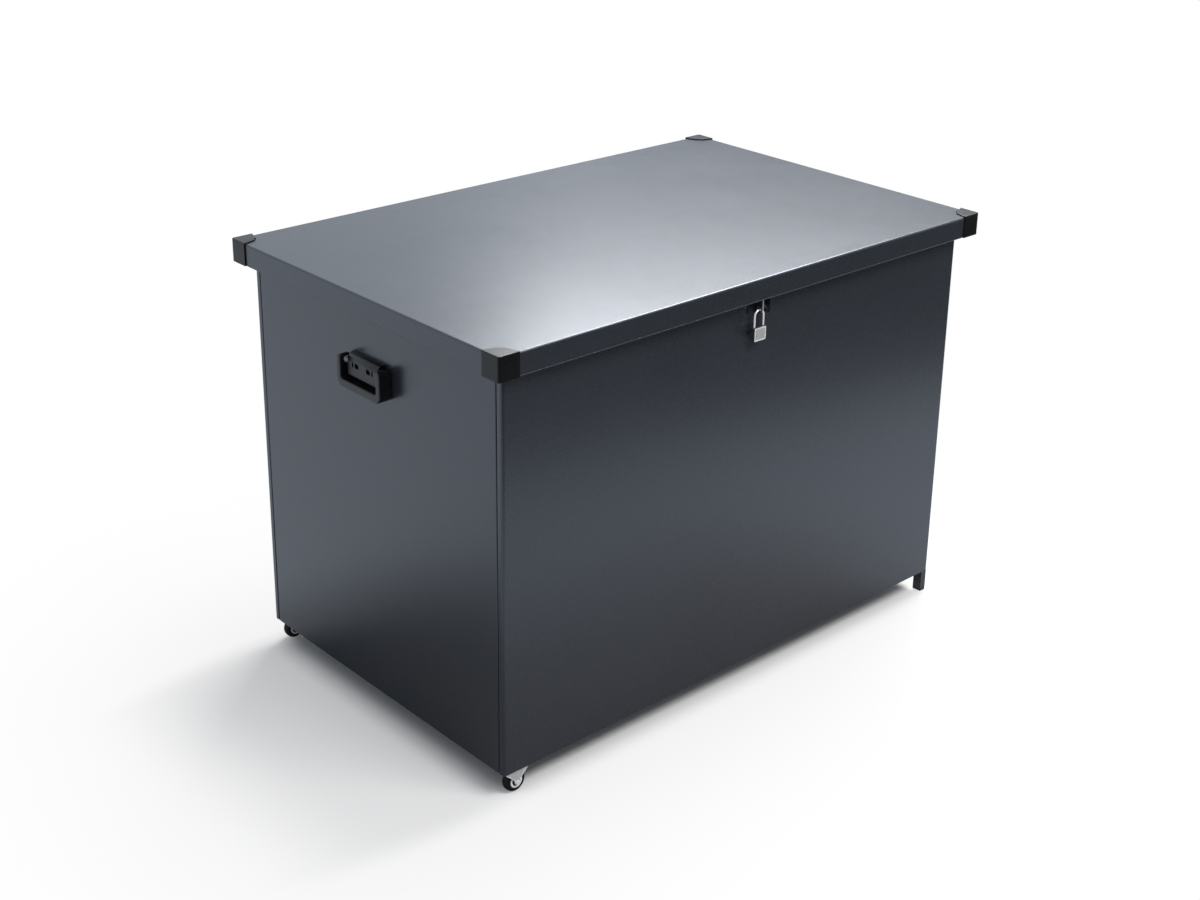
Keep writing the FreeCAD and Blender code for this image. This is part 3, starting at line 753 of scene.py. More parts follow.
    @staticmethod
    def pipe(path: Sequence[Vector], side: Vector, radius: float, steps: int = 24) -> Mesh:
        """Round bar along a flat path.

        Args:
            path: Points of its middle line.
            side: Unit vector square to the path's plane.
            radius: Radius of the bar.
            steps: Steps round it.

        Returns:
            The mesh.
        """
        turns = [math.tau * step / steps for step in range(steps)]
        rows = []
        for index, here in enumerate(path):
            way = path[min(index + 1, len(path) - 1)] - path[max(index - 1, 0)]
            across = way.normalized().cross(side)
            spokes = [across * math.cos(turn) + side * math.sin(turn) for turn in turns]
            rows.append([here + spoke * radius for spoke in spokes])
        return Form.skin(rows)

    @staticmethod
    def joined(forms: Iterable[Mesh]) -> Mesh:
        """Several forms as one mesh.

        Args:
            forms: Meshes, which are used up.

        Returns:
            The mesh.
        """
        whole = bmesh.new()
        for form in forms:
            mesh = bpy.data.meshes.new("form")
            form.to_mesh(mesh)
            form.free()
            whole.from_mesh(mesh)
            bpy.data.meshes.remove(mesh)
        return whole

    @staticmethod
    def eased(form: Mesh, width: float, segments: int = 2, angle: float = 40.0) -> Mesh:
        """Form with its sharp edges rounded over.

        Args:
            form: Mesh to change.
            width: Width of the rounding.
            segments: Steps across it.
            angle: Smallest angle between faces, in degrees, that counts as sharp.

        Returns:
            The same mesh.
        """
        limit = math.radians(angle)
        shared = [edge for edge in form.edges if len(edge.link_faces) == 2]
        sharp = [edge for edge in shared if edge.calc_face_angle() > limit]
        bmesh.ops.bevel(
            form,
            geom=sharp,
            offset=width,
            segments=segments,
            profile=0.5,
            affect="EDGES",
            clamp_overlap=True,
        )
        return form

    @staticmethod
    def rivet(seat: Vector, axis: Vector, radius: float, rise: float) -> Mesh:
        """Domed head on a seat."""
        dome = [(radius * across, rise * up) for across, up in Form.RIVET_SHARES]
        return Form.turned(dome, seat, axis, steps=Form.RIVET_STEPS)


@dataclass
class Bench:
    """Turns forms into pieces that ride on the frame, and dresses the nodes that stay."""

    nodes: dict[str, bpy.types.Object]
    weld: float = 0.001
    flat_angle: float = 1.0
    edge_angle: float = 35.0
    edge_segments: int = 2
    sharp_angle: float = 38.0

    def keep(self, node: str, finish: Finish, ease: Ease = Ease.NONE) -> None:
        """Dresses a node where it stands.

        Args:
            node: Its name.
            finish: Finish it gets.
            ease: Width by which its sharp edges are rounded over.
        """
        thing = self.nodes[node]
        thing.data.materials.clear()
        thing.data.materials.append(material_of(finish))
        if ease is not Ease.NONE:
            weld = thing.modifiers.new("weld", "WELD")
            weld.merge_threshold = self.weld * MM
            flat = thing.modifiers.new("flat", "DECIMATE")
            flat.decimate_type = "DISSOLVE"
            flat.angle_limit = math.radians(self.flat_angle)
            edge = thing.modifiers.new("edge", "BEVEL")
            edge.width = ease.value * MM
            edge.segments = self.edge_segments
            edge.limit_method = "ANGLE"
            edge.angle_limit = math.radians(self.edge_angle)
            edge.harden_normals = True
        LOG.info("dressed %s in %s", node, finish.name)

    def piece(
        self, name: str, form: Mesh, finish: Finish, body: str, stands_for: Sequence[str] = ()
    ) -> None:
        """Makes a piece.

        Args:
            name: Its name.
            form: Its mesh, in millimetres in the frame.
            finish: Its finish.
            body: Body it rides on.
            stands_for: Nodes that it replaces.
        """
        bmesh.ops.scale(form, vec=(MM, MM, MM), verts=form.verts)
        mesh = bpy.data.meshes.new(name)
        form.to_mesh(mesh)
        form.free()
        mesh.shade_smooth()
        mesh.set_sharp_from_angle(angle=math.radians(self.sharp_angle))
        mesh.materials.append(material_of(finish))
        thing = bpy.data.objects.new(name, mesh)
        bpy.context.scene.collection.objects.link(thing)
        weighted = thing.modifiers.new("flat_faces", "WEIGHTED_NORMAL")
        weighted.keep_sharp = True
        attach(thing, body)
        if stands_for:
            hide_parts(*stands_for)
        LOG.info("made %s with %d faces", name, len(mesh.polygons))


@dataclass
class Chest:
    """The folded chest: panels, floor and seals."""

    bench: Bench
    sheets: tuple[str, ...] = (
        "front_panel", "rear_panel", "left_end_panel", "right_end_panel", "floor_pan", "floor_stiffeners"
    )
    seal_width: float = 12.0
    seal_crown: float = 0.6
    seal_steps: int = 8

    def build(self) -> None:
        """Dresses the sheet parts and seals."""
        for node in self.sheets:
            self.bench.keep(node, Finishes.SHEET)
        self.bench.keep("seam_seals", Finishes.SEAL)
        self.bench.piece("rim_seal", self.seal(), Finishes.SEAL, "chest", ["rim_gasket"])

    def seal(self) -> Mesh:
        """Round-topped seal that runs round the rim.

        Returns:
            The mesh.
        """
        strip, half = Extent("rim_gasket"), self.seal_width / 2
        turns = [math.pi * step / self.seal_steps for step in range(self.seal_steps + 1)]
        crown = [strip.size.z * math.sin(turn) ** self.seal_crown for turn in turns]
        section = [(half * math.cos(turn), rise) for turn, rise in zip(turns, crown)]
        reach, low = strip.high - Vector((half, half, 0)), strip.low.z
        rows = []
        for x, y in ((1, 1), (-1, 1), (-1, -1), (1, -1)):
            rows.append([Vector((x * (reach.x + u), y * (reach.y + u), low + v)) for u, v in section])
        return Form.skin(rows, loop=True)


@dataclass
class CornerCap:
    """Moulded cap over one corner of the lid."""

    bench: Bench
    side: Side
    end: End
    corner: float = 4.5
    edge: float = 1.4
    wall: float = 2.45
    plate: float = 2.45
    ease: float = 0.5
    leg_steps: int = 4
    bend_steps: int = 8
    edge_steps: int = 4
    shoulder_share: float = 0.66
    waist_share: float = 0.68
    reach_share: float = 0.81

    def outer(self, leg: float) -> list[tuple[Vector, Vector]]:
        """Outside line of the cap in plan.

        Args:
            leg: Length of each leg from the corner.

        Returns:
            Points with their outward ways, from the end of one leg to the end of the other.
        """
        shares = [step / self.leg_steps for step in range(self.leg_steps)]
        legs = [leg + (self.corner - leg) * share for share in shares]
        line = [(Vector((along, 0)), Vector((0, -1))) for along in legs]
        for step in range(self.bend_steps + 1):
            turn = math.pi * 1.5 - math.pi / 2 * step / self.bend_steps
            way = Vector((math.cos(turn), math.sin(turn)))
            line.append((Vector((self.corner, self.corner)) + way * self.corner, way))
        return line + [(Vector((0, along)), Vector((-1, 0))) for along in reversed(legs)]

    def inner(self, leg: float, share: float) -> Vector:
        """Place on the notched inner edge of the top plate.

        Args:
            leg: Length of each leg from the corner.
            share: Share of the way along the edge.

        Returns:
            The place in plan.
        """
        shares = (self.shoulder_share, self.waist_share, self.reach_share)
        shoulder, waist, reach = (leg * part for part in shares)
        points = [Vector((reach, shoulder)), Vector((waist, waist)), Vector((shoulder, reach))]
        first = min(int(share * 2), 1)
        return points[first].lerp(points[first + 1], share * 2 - first)

    def build(self) -> None:
        """Makes the cap."""
        node = f"lid_cap_{self.side.label}_{self.end.label}"
        box = Extent(node)
        leg, low, high = box.size.x, box.low.z, box.high.z
        corner_x = box.low.x if self.end is End.LEFT else box.high.x
        corner_y = box.low.y if self.side is Side.FRONT else box.high.y
        line = self.outer(leg)
        rows = []
        for index, (outer, way) in enumerate(line):
            inside = outer - way * self.wall
            points = [(inside, low), (outer, low)]
            for step in range(self.edge_steps + 1):
                turn = math.pi / 2 * step / self.edge_steps
                rim = outer - way * self.edge * (1 - math.cos(turn))
                points.append((rim, high - self.edge * (1 - math.sin(turn))))
            inner = self.inner(leg, index / (len(line) - 1))
            points += [(inner, high), (inner, high - self.plate), (inside, high - self.plate)]
            places = [(corner_x - self.end.value * flat.x, flat.y, z) for flat, z in points]
            rows.append([Vector((x, corner_y - self.side.value * y, z)) for x, y, z in places])
        form = Form.skin(rows, caps=False)
        count = len(rows[0])
        for start in (0, len(form.verts) - count):
            row = [form.verts[start + step] for step in range(count)]
            form.faces.new(row[: count - 3] + row[-1:])
            form.faces.new(row[count - 4 :])
        bmesh.ops.recalc_face_normals(form, faces=form.faces)
        eased = Form.eased(form, self.ease)
        self.bench.piece(node.replace("lid_", ""), eased, Finishes.CAP, "lid", [node])


@dataclass
class Lid:
    """The lid with its stiffeners, eye, caps and the beads along its lower edge."""

    bench: Bench
    bead: float = 0.9
    bead_proud: float = 0.5
    bead_ease: float = 0.4
    bead_steps: int = 16

    def build(self) -> None:
        """Dresses the lid's sheet and makes its beads and caps."""
        for node in ("lid_shell", "lid_stiffeners"):
            self.bench.keep(node, Finishes.SHEET)
        # The lid eye takes the darker eye coat, painted shade under the skirt.
        self.bench.keep("lid_eye", Finishes.EYE, Ease.THIN)
        self.bench.piece("skirt_beads", self.beads(), Finishes.SHEET, "lid")
        for side in Side:
            for end in End:
                CornerCap(self.bench, side, end).build()

    def beads(self) -> Mesh:
        """Rounded beads along the lower edges of the skirt, between the caps, on the three open sides.

        Returns:
            The mesh.
        """
        shell, cap = Extent("lid_shell"), Extent("lid_cap_front_left")
        inset = self.bead - self.bead_proud
        reach = Vector((shell.high.x - inset, shell.high.y - inset))
        stop_x, stop_y, height = -cap.high.x, -cap.high.y, shell.low.z + inset
        runs = [((-stop_x, -reach.y), (stop_x, -reach.y))]
        runs += [((end.value * reach.x, -stop_y), (end.value * reach.x, stop_y)) for end in End]
        paths = [[Vector((*point, height)) for point in run] for run in runs]
        bars = [Form.pipe(path, Z, self.bead, self.bead_steps) for path in paths]
        return Form.eased(Form.joined(bars), self.bead_ease)


@dataclass
class Handle:
    """A lift handle at one end."""

    bench: Bench
    end: End
    arm: float = 11.5
    bar: float = 15.5
    rise: float = 3.5
    outer_radius: float = 15.0
    inner_radius: float = 5.0
    top_radius: float = 9.5
    nose_radius: float = 5.0
    washer_radius: float = 6.2
    washer_rise: float = 1.8
    ease: float = 2.4
    ease_share: float = 0.42
    ease_steps: int = 4
    arc_steps: int = 6

    def build(self) -> None:
        """Makes the bail and dresses the base and its fixings."""
        name = self.end.label
        body = f"{name}_bail"
        box, pivot = Extent(f"{name}_handle_bail"), Extent(f"{name}_handle_pins").middle
        grip = self.bail(box, pivot)
        self.bench.piece(f"{name}_bail_grip", grip, Finishes.HANDLE, body, [f"{name}_handle_bail"])
        self.bench.piece(f"{name}_bail_washers", self.washers(box, pivot), Finishes.PIN, body)
        self.bench.keep(f"{name}_handle_base", Finishes.HANDLE, Ease.LARGE)
        self.bench.keep(f"{name}_handle_pins", Finishes.PIN, Ease.SMALL)
        self.bench.keep(f"{name}_handle_screws", Finishes.BLACK_STEEL, Ease.SMALL)

    def washers(self, box: Extent, pivot: Vector) -> Mesh:
        """Domed washers on the pins at the inner faces of the arms.

        Args:
            box: Box of the bail.
            pivot: Middle of the pins.

        Returns:
            The mesh.
        """
        inner, forms = box.size.y / 2 - self.arm, []
        for way in (-1, 1):
            seat = pivot + Y * (way * inner)
            forms.append(Form.rivet(seat, Y * -way, self.washer_radius, self.washer_rise))
        return Form.joined(forms)

    def pairs(self, half: float, low: float, high: float) -> list[tuple[Point, Point]]:
        """Outer and inner points of half the bail, from an arm's top to the middle of the grip bar.

        Args:
            half: Half of the bail's width.
            low: Height of its bottom.
            high: Height of its top.

        Returns:
            Pairs of (across, height) points.
        """
        inner = half - self.arm
        turns = [math.pi / 2 * step / self.arc_steps for step in range(self.arc_steps + 1)]
        pairs = []
        for turn in reversed(turns):
            height = high - self.top_radius * (1 - math.sin(turn))
            pairs.append(((half - self.top_radius * (1 - math.cos(turn)), height), (inner, height)))
        out_start, in_start = low + self.outer_radius, low + self.bar + self.inner_radius
        for turn in turns:
            bend, drop = 1 - math.cos(turn), math.sin(turn)
            out = (half - self.outer_radius * bend, out_start - self.outer_radius * drop)
            into = (inner - self.inner_radius * bend, in_start - self.inner_radius * drop)
            pairs.append((out, into))
        return pairs + [((0.0, low), (0.0, low + self.bar))]

    def bail(self, box: Extent, pivot: Vector) -> Mesh:
        """Bail with rounded edges, its arms rounded over the pivot.

        Args:
            box: Box of the bail.
            pivot: Middle of the pins.

        Returns:
            The mesh.
        """
        back_x = box.high.x if self.end is End.LEFT else box.low.x
        reach, depth = abs(pivot.x - back_x), box.size.x

        def span(height: float) -> Point:
            """Back and front of the bail, measured outwards from its back.

            Args:
                height: Height at which they are taken.

            Returns:
                The two places.
            """
            above = max(0.0, height - pivot.z)
            nose = max(0.0, height - box.high.z + self.nose_radius)
            back = reach - math.sqrt(max(0.0, reach**2 - above**2))
            return back, depth - self.nose_radius + math.sqrt(max(0.0, self.nose_radius**2 - nose**2))

        half_loop = self.pairs(box.size.y / 2, box.low.z + self.rise, box.high.z)
        other_half = [((-out[0], out[1]), (-into[0], into[1])) for out, into in reversed(half_loop[:-1])]
        rows = []
        for out, into in half_loop + other_half:
            outer, inner = Vector(out), Vector(into)
            width = (inner - outer).length
            (back_out, front_out), (back_in, front_in) = span(outer.y), span(inner.y)
            ease = min(self.ease, self.ease_share * width, self.ease_share * (front_out - back_out))
            corners = [(0, back_out), (0, front_out), (width, front_in), (width, back_in)]
            row = []
            for along, outward in Form.rounded([(*corner, ease) for corner in corners], self.ease_steps):
                flat = outer.lerp(inner, along / width)
                row.append(Vector((back_x + self.end.value * outward, flat.x, flat.y)))
            rows.append(row)
        return Form.skin(rows)


@dataclass
class Caster:
    """A fixed caster at the left end."""

    bench: Bench
    side: Side
    rim: float = 12.6
    ring: float = 8.9
    boss: float = 5.0
    bore: float = 3.05
    disc: float = 1.2
    bead_width: float = 2.0
    bead_sink: float = 0.9
    bead_eases: Point = (0.3, 0.8)
    ring_sinks: Point = (0.2, -0.3)
    ring_eases: Point = (0.5, 1.0)
    boss_sink: float = 0.2
    boss_eases: Point = (0.3, 0.6)
    tyre_round: float = 6.5
    tyre_steps: int = 5
    head: float = 1.8
    head_wall: float = 0.6
    head_fall: float = 0.4
    head_shares: Point = (0.8, 0.3)
    head_steps: int = 40
    sheet: float = 2.0
    sheet_ease: float = 0.4
    tip: float = 4.0
    tip_eases: Point = (0.6, 0.8)
    toe: float = 4.8
    toe_slack: float = 0.1
    heel: float = -2.0
    hem: float = 1.7
    hem_slope: float = 0.3
    hem_depth: float = 0.5
    panel_lap: float = 0.1
    panel_sinks: Corner = (0.7, 0.35, 0.3)
    web_inset: float = 0.3
    web_corner: float = 1.0
    hollow_shares: tuple[float, ...] = (0.25, 0.5, 0.75)

    def build(self) -> None:
        """Makes the caster's parts."""
        name = self.side.label
        fork, tyre = Extent(f"{name}_caster_fork"), Extent(f"{name}_caster_tyre")
        leg = self.leg(fork, tyre.middle.z)
        axle = self.axle(Extent(f"{name}_caster_axle"))
        parts = (
            ("fork", self.fork(fork, leg), Finishes.ZINC, "fork"),
            # Panels in the darker zinc: painted shade round the bright hems.
            ("fork_panels", self.panels(fork, leg), Finishes.DULL_ZINC, "fork"),
            ("axle", axle, Finishes.ZINC, "axle"),
        )
        for part, form, finish, node in parts:
            self.bench.piece(f"{name}_{part}", form, finish, "chest", [f"{name}_caster_{node}"])
        self.bench.keep(f"{name}_caster_bolts", Finishes.ZINC, Ease.SMALL)
        self.wheel(name, tyre)

    def wheel(self, name: str, tyre: Extent) -> None:
        """Makes the tyre, the pale ring and the dark disc.

        Args:
            name: Word that starts the pieces' names.
            tyre: Box of the tyre.
        """
        outer, half = tyre.size.z / 2, tyre.size.y / 2
        rim_ease, bead_ease = self.bead_eases
        (inner_sink, outer_sink), (inner_ease, outer_ease) = self.ring_sinks, self.ring_eases
        foot_ease, boss_ease = self.boss_eases
        tread = [(self.rim + self.bead_width, 0.0, bead_ease), (outer, 0.0, self.tyre_round)]
        boss = [(self.boss, self.boss_sink, boss_ease), (self.bore, self.boss_sink, 0.0)]
        parts = (
            ("tyre", [(self.rim, self.bead_sink, rim_ease)] + tread, Finishes.TYRE, "tyre"),
            (
                "ring",
                [(self.ring, inner_sink, inner_ease), (self.rim, outer_sink, outer_ease)],
                Finishes.HUB,
                "hub",
            ),
            (
                "disc",
                [(self.ring, self.disc, 0.0), (self.boss, self.disc, foot_ease)] + boss,
                Finishes.HUB_DARK,
                "hub",
            ),
        )
        for part, points, finish, node in parts:
            near = [(radius, depth - half, corner) for radius, depth, corner in points]
            far = [(radius, -along, corner) for radius, along, corner in reversed(near)]
            profile = Form.rounded(near + far, self.tyre_steps)
            form = Form.turned(profile, tyre.middle, Y, ring=True)
            nodes = [f"{name}_caster_{node}"]
            self.bench.piece(f"{name}_wheel_{part}", form, finish, f"{name}_wheel", nodes)

    def axle(self, box: Extent) -> Mesh:
        """Axle with domed heads.

        Args:
            box: Box of the axle.

        Returns:
            The mesh.
        """
        reach, radius = box.size.y / 2, box.size.z / 2
        seat = reach - self.head
        shoulder, top = (radius * share for share in self.head_shares)
        dome = [(self.bore, seat), (radius, seat), (radius, seat + self.head_wall)]
        dome += [(shoulder, reach - self.head_fall), (top, reach)]
        profile = [(across, -along) for across, along in reversed(dome)] + dome
        return Form.turned(profile, box.middle, Y, steps=self.head_steps)

    def leg(self, box: Extent, axle_height: float) -> list[Point]:
        """Outline of a leg of the fork.

        Args:
            box: Box of the fork.
            axle_height: Height of the axle.

        Returns:
            Points of (along from the fork's middle, height).
        """
        half, top, toe = box.size.x / 2, box.high.z, self.toe

        def flank(way: int, width: float) -> list[Corner]:
            """One side of the leg, from its top corner down a hollow curve to its toe.

            Args:
                way: Which side, as -1 or 1.
                width: Reach of its top corner.

            Returns:
                Points of (along, height, radius).
            """
            start, stop = Vector((width, top - self.tip)), Vector((toe, axle_height))
            turn = Vector((toe, axle_height + toe))
            chords = [(start.lerp(turn, s), turn.lerp(stop, s), s) for s in self.hollow_shares]
            curve = [(*first.lerp(second, s), 0.0) for first, second, s in chords]
            top_ease, tip_ease = self.tip_eases
            points = [(width, top, top_ease), (*start, tip_ease), *curve]
            points.append((toe, axle_height - toe, toe - self.toe_slack))
            return [(way * u, v, radius) for u, v, radius in points]

        return Form.rounded(flank(-1, half) + list(reversed(flank(1, half + self.heel))))

    def legs(self, box: Extent, outline: Sequence[Point], levels: Sequence[Point]) -> list[Mesh]:
        """The same form on both legs of the fork.

        Args:
            box: Box of the fork.
            outline: Outline of a leg.
            levels: Pairs of (inset, distance from the fork's middle).

        Returns:
            The two meshes.
        """
        x, y, _ = box.middle
        places = [lambda u, v, w, way=way: Vector((x + u, y + way * w, v)) for way in (-1, 1)]
        return [Form.stack(outline, levels, place) for place in places]

    def fork(self, box: Extent, outline: Sequence[Point]) -> Mesh:
        """Pressed fork with a raised hem round each leg.

        Args:
            box: Box of the fork.
            outline: Outline of a leg.

        Returns:
            The mesh.
        """
        reach, top = box.size.y / 2, box.high.z
        levels = Form.soft_levels(reach - self.sheet, reach, self.sheet_ease)
        levels += [(self.hem - self.hem_slope, reach), (self.hem, reach - self.hem_depth)]
        web = Form.rectangle((box.size.x + self.heel) / 2, reach - self.web_inset, self.web_corner)
        plate = Form.soft_levels(top - self.sheet, top, self.sheet_ease)
        x, y = box.middle.x + self.heel / 2, box.middle.y
        forms = self.legs(box, outline, levels)
        return Form.joined([*forms, Form.stack(web, plate, lambda u, v, w: Vector((x + u, y + v, w)))])

    def panels(self, box: Extent, outline: Sequence[Point]) -> Mesh:
        """Plain panels inside the hems of the legs, in darker zinc: painted shade that sets the hems off as
        bright edges.

        Args:
            box: Box of the fork.
            outline: Outline of a leg.

        Returns:
            The mesh.
        """
        reach, under, over = box.size.y / 2, self.hem - self.panel_lap, self.hem + self.panel_lap
        insets = (under, under, over)
        levels = [(inset, reach - sink) for inset, sink in zip(insets, self.panel_sinks)]
        return Form.joined(self.legs(box, outline, levels))


@dataclass
class Foot:
    """A fixed foot at the right end."""

    bench: Bench
    side: Side

    def build(self) -> None:
        """Dresses the foot and its bolts."""
        self.bench.keep(f"{self.side.label}_foot", Finishes.BLACK_STEEL, Ease.LARGE)
        self.bench.keep(f"{self.side.label}_foot_bolts", Finishes.ZINC, Ease.SMALL)


@dataclass
class Hinge:
    """A lid hinge on the rear side."""

    bench: Bench
    end: End
    leaf_sheet: float = 2.5
    rivet_radius: float = 4.0
    rivet_rise: float = 1.6
    chest_rises: Point = (11.0, 27.0)
    lid_drop: float = 13.0
    spread_shares: tuple[float, ...] = (-0.4, 0.0, 0.4)

    def build(self) -> None:
        """Dresses the leaves and the pin and sets the rivets."""
        name = self.end.label
        self.bench.keep(f"{name}_hinge_chest_leaf", Finishes.BLACK_STEEL, Ease.PLATE)
        self.bench.keep(f"{name}_hinge_lid_leaf", Finishes.BLACK_STEEL, Ease.PLATE)
        self.bench.keep(f"{name}_hinge_pin", Finishes.ZINC, Ease.SMALL)
        leaf, plate = Extent(f"{name}_hinge_chest_leaf"), Extent(f"{name}_hinge_lid_leaf")
        skirt, face = Extent("lid_shell").high.y, leaf.low.y + self.leaf_sheet
        spots = [leaf.middle.x + share * leaf.size.x for share in self.spread_shares]
        low = [Vector((x, face, leaf.low.z + rise)) for x in spots for rise in self.chest_rises]
        high = [Vector((x, skirt, plate.high.z - self.lid_drop)) for x in spots]
        for body, seats in (("chest", low), ("lid", high)):
            heads = [Form.rivet(seat, Y, self.rivet_radius, self.rivet_rise) for seat in seats]
            rivets = f"{name}_hinge_{body}_rivets"
            self.bench.piece(rivets, Form.joined(heads), Finishes.BLACK_STEEL, body)


@dataclass
class Strut:
    """A gas strut that holds the lid open."""

    bench: Bench
    end: End
    tube_radius: float = 9.0
    tube_length: float = 250.0
    eye_radius: float = 8.0
    collar_radius: float = 9.8
    collar_bore: float = 5.0
    collar_grip: float = 0.3
    collar_length: float = 9.0
    collar_lip: float = 0.4
    collar_seat: float = 0.5
    collar_ease: float = 0.5
    collar_steps: int = 40
    ease_steps: int = 3

    def build(self) -> None:
        """Dresses the strut and its brackets and adds the end collar."""
        name = self.end.label
        self.bench.keep(f"{name}_strut_anchor", Finishes.BLACK_STEEL, Ease.PLATE)
        self.bench.keep(f"{name}_strut_bracket", Finishes.BLACK_STEEL, Ease.PLATE)
        self.bench.keep(f"{name}_strut_tube", Finishes.BLACK_STEEL, Ease.LARGE)
        self.bench.keep(f"{name}_strut_rod", Finishes.CHROME, Ease.SMALL)
        foot, rod = Extent(f"{name}_strut_anchor").middle, Extent(f"{name}_strut_rod")
        head = rod.high - Vector((0, self.eye_radius, self.eye_radius))
        foot.x = head.x = rod.middle.x
        way = (head - foot).normalized()
        collar = self.collar(foot + way * self.tube_length, way)
        self.bench.piece(f"{name}_strut_collar", collar, Finishes.BLACK_STEEL, f"{name}_strut_tube")

    def collar(self, tube_end: Vector, way: Vector) -> Mesh:
        """Collar over the tube's end.

        Args:
            tube_end: Middle of the tube's end.
            way: Unit vector along the strut.

        Returns:
            The mesh.
        """
        inner, outer, ease = self.tube_radius - self.collar_grip, self.collar_radius, self.collar_ease
        skirt = [(inner, -self.collar_length, 0.0), (outer, -self.collar_length, ease)]
        lip = [(outer, self.collar_lip, ease), (self.collar_bore, self.collar_lip, ease)]
        seat = [(self.collar_bore, -self.collar_seat, 0.0), (inner, -self.collar_seat, 0.0)]
        profile = Form.rounded(skirt + lip + seat, self.ease_steps)
        return Form.turned(profile, tube_end, way, ring=True, steps=self.collar_steps)


@dataclass
class Padlock:
    """The padlock and the staple that it hangs from."""

    bench: Bench
    wire: float = 2.5
    gauge: float = 1.8
    short_leg: float = 9.0
    arch_steps: int = 28
    corner: float = 3.0
    ease: float = 1.1
    border: float = 2.6
    border_slope: float = 0.3
    face_inset: float = 0.8
    face_edge: float = 0.2
    face_sheet: float = 0.7
    face_lap: float = 0.4
    panel_depth: float = 0.4
    panel_gap: float = 0.5
    panel_sheet: float = 0.2
    panel_proud: float = 0.1
    plug_proud: float = 0.3
    plug_ease: float = 0.3
    slot_half: float = 2.5
    slot_width: float = 1.4
    slot_corner: float = 0.4
    slot_depth: float = 6.0
    slot_pitch: float = 0.6
    plate: float = 3.0
    plate_corners: Point = (9.0, 1.0)
    plate_pitch: float = 1.5
    plate_ease: float = 0.35
    plate_angle: float = 60.0
    hole: float = 4.5
    hole_rise: float = 4.1
    base_sheet: float = 2.5
    base_corner: float = 2.0
    base_ease: float = 0.5

    def build(self) -> None:
        """Makes the staple and the padlock."""
        case, shackle = Extent("padlock_body"), Extent("padlock_shackle")
        self.staple(case.middle.y, shackle.high.z - 2 * self.wire + self.hole_rise)
        arch = self.shackle(shackle, case.high.z - self.short_leg)
        self.bench.piece("lock_shackle", arch, Finishes.SHACKLE, "shackle", ["padlock_shackle"])
        self.case(case)
        self.bench.piece("lock_plug", self.plug(), Finishes.BRASS, "plug", ["padlock_plug"])

    def staple(self, hole_y: float, hole_z: float) -> None:
        """Makes the eye plate and its base on the front panel.

        Args:
            hole_y: Place of the hole along Y.
            hole_z: Height of the hole.
        """
        box = Extent("hasp_staple")
        low, high, middle, half = box.low, box.high, box.middle, self.plate / 2
        lower, upper = self.plate_corners
        corners = [(high.y, low.z, 0), (low.y, low.z, lower), (low.y, high.z, upper), (high.y, high.z, 0)]
        outline = Form.fine(Form.rounded(corners), self.plate_pitch)
        span = (middle.x - half, middle.x + half)
        plate = Form.pierced(outline, (hole_y, hole_z), self.hole, span, lambda u, v, w: Vector((w, u, v)))
        eye = Form.eased(plate, self.plate_ease, angle=self.plate_angle)
        base = Form.stack(
            Form.rectangle(box.size.x / 2, box.size.z / 2, self.base_corner),
            Form.soft_levels(high.y, high.y - self.base_sheet, self.base_ease),
            lambda u, v, w: Vector((middle.x + u, w, middle.z + v)),
        )
        self.bench.piece("staple_eye", eye, Finishes.STAPLE, "chest", ["hasp_staple"])
        # The base takes the darker eye coat, painted shade behind the shackle.
        self.bench.piece("staple_base", base, Finishes.EYE, "chest", ["hasp_staple"])

    def shackle(self, box: Extent, short_end: float) -> Mesh:
        """Shackle with a round arch.

        Args:
            box: Box of the shackle.
            short_end: Height at which its short leg ends.

        Returns:
            The mesh.
        """
        seat = 2 * self.wire - self.gauge
        radius = box.size.x / 2 - seat
        centre = Vector((box.middle.x, box.middle.y, box.high.z - seat - radius))
        turns = [math.pi - math.pi * step / self.arch_steps for step in range(self.arch_steps + 1)]
        arch = [centre + Vector((math.cos(turn), 0, math.sin(turn))) * radius for turn in turns]
        start, stop = arch[0].copy(), arch[-1].copy()
        start.z, stop.z = box.low.z, short_end
        return Form.pipe([start, *arch, stop], Y, self.gauge)

    def case(self, box: Extent) -> None:
        """Makes the case, its face and the plain panel set into the face.

        Args:
            box: Box of the case.
        """
        middle, half = box.middle, box.size.y / 2

        def place(u: float, v: float, w: float) -> Vector:
            """Point of the case from its face's coordinates."""
            return Vector((middle.x + u, middle.y + w, middle.z + v))

        def runs(levels: Sequence[Point]) -> list[tuple[list[Point], float]]:
            """Rounded rectangles set in by the levels.

            Args:
                levels: Pairs of (inset, place along Y).

            Returns:
                The rectangles, each with its place.
            """
            sides = [(box.size.x / 2 - depth, box.size.z / 2 - depth, depth) for depth, _ in levels]
            shapes = [Form.rectangle(u, v, max(self.ease, self.corner - depth)) for u, v, depth in sides]
            return list(zip(shapes, [along for _, along in levels]))

        front, floor = -half, self.panel_depth - half
        inset = self.border + self.panel_gap
        face = [
            (self.face_inset, front + self.face_sheet),
            (self.face_inset, front + self.face_edge),
            (self.face_inset + self.face_edge, front),
            (self.border, front),
            (self.border + self.border_slope, floor),
            (inset + self.panel_gap, floor),
        ]
        panel = [
            (inset, floor + self.panel_sheet),
            (inset, floor - self.panel_proud / 2),
            (inset + self.panel_proud, floor - self.panel_proud),
        ]
        parts = {
            # The case takes the darker steel: painted shade on its top and sides.
            "case": (Form.soft_levels(half, front + self.face_lap, self.ease), Finishes.LOCK),
            "face": (face, Finishes.LOCK_FACE),
            "panel": (panel, Finishes.LOCK_PANEL),
        }
        for part, (levels, finish) in parts.items():
            form = Form.lofted(runs(levels), place)
            self.bench.piece(f"lock_{part}", form, finish, "padlock", ["padlock_body"])

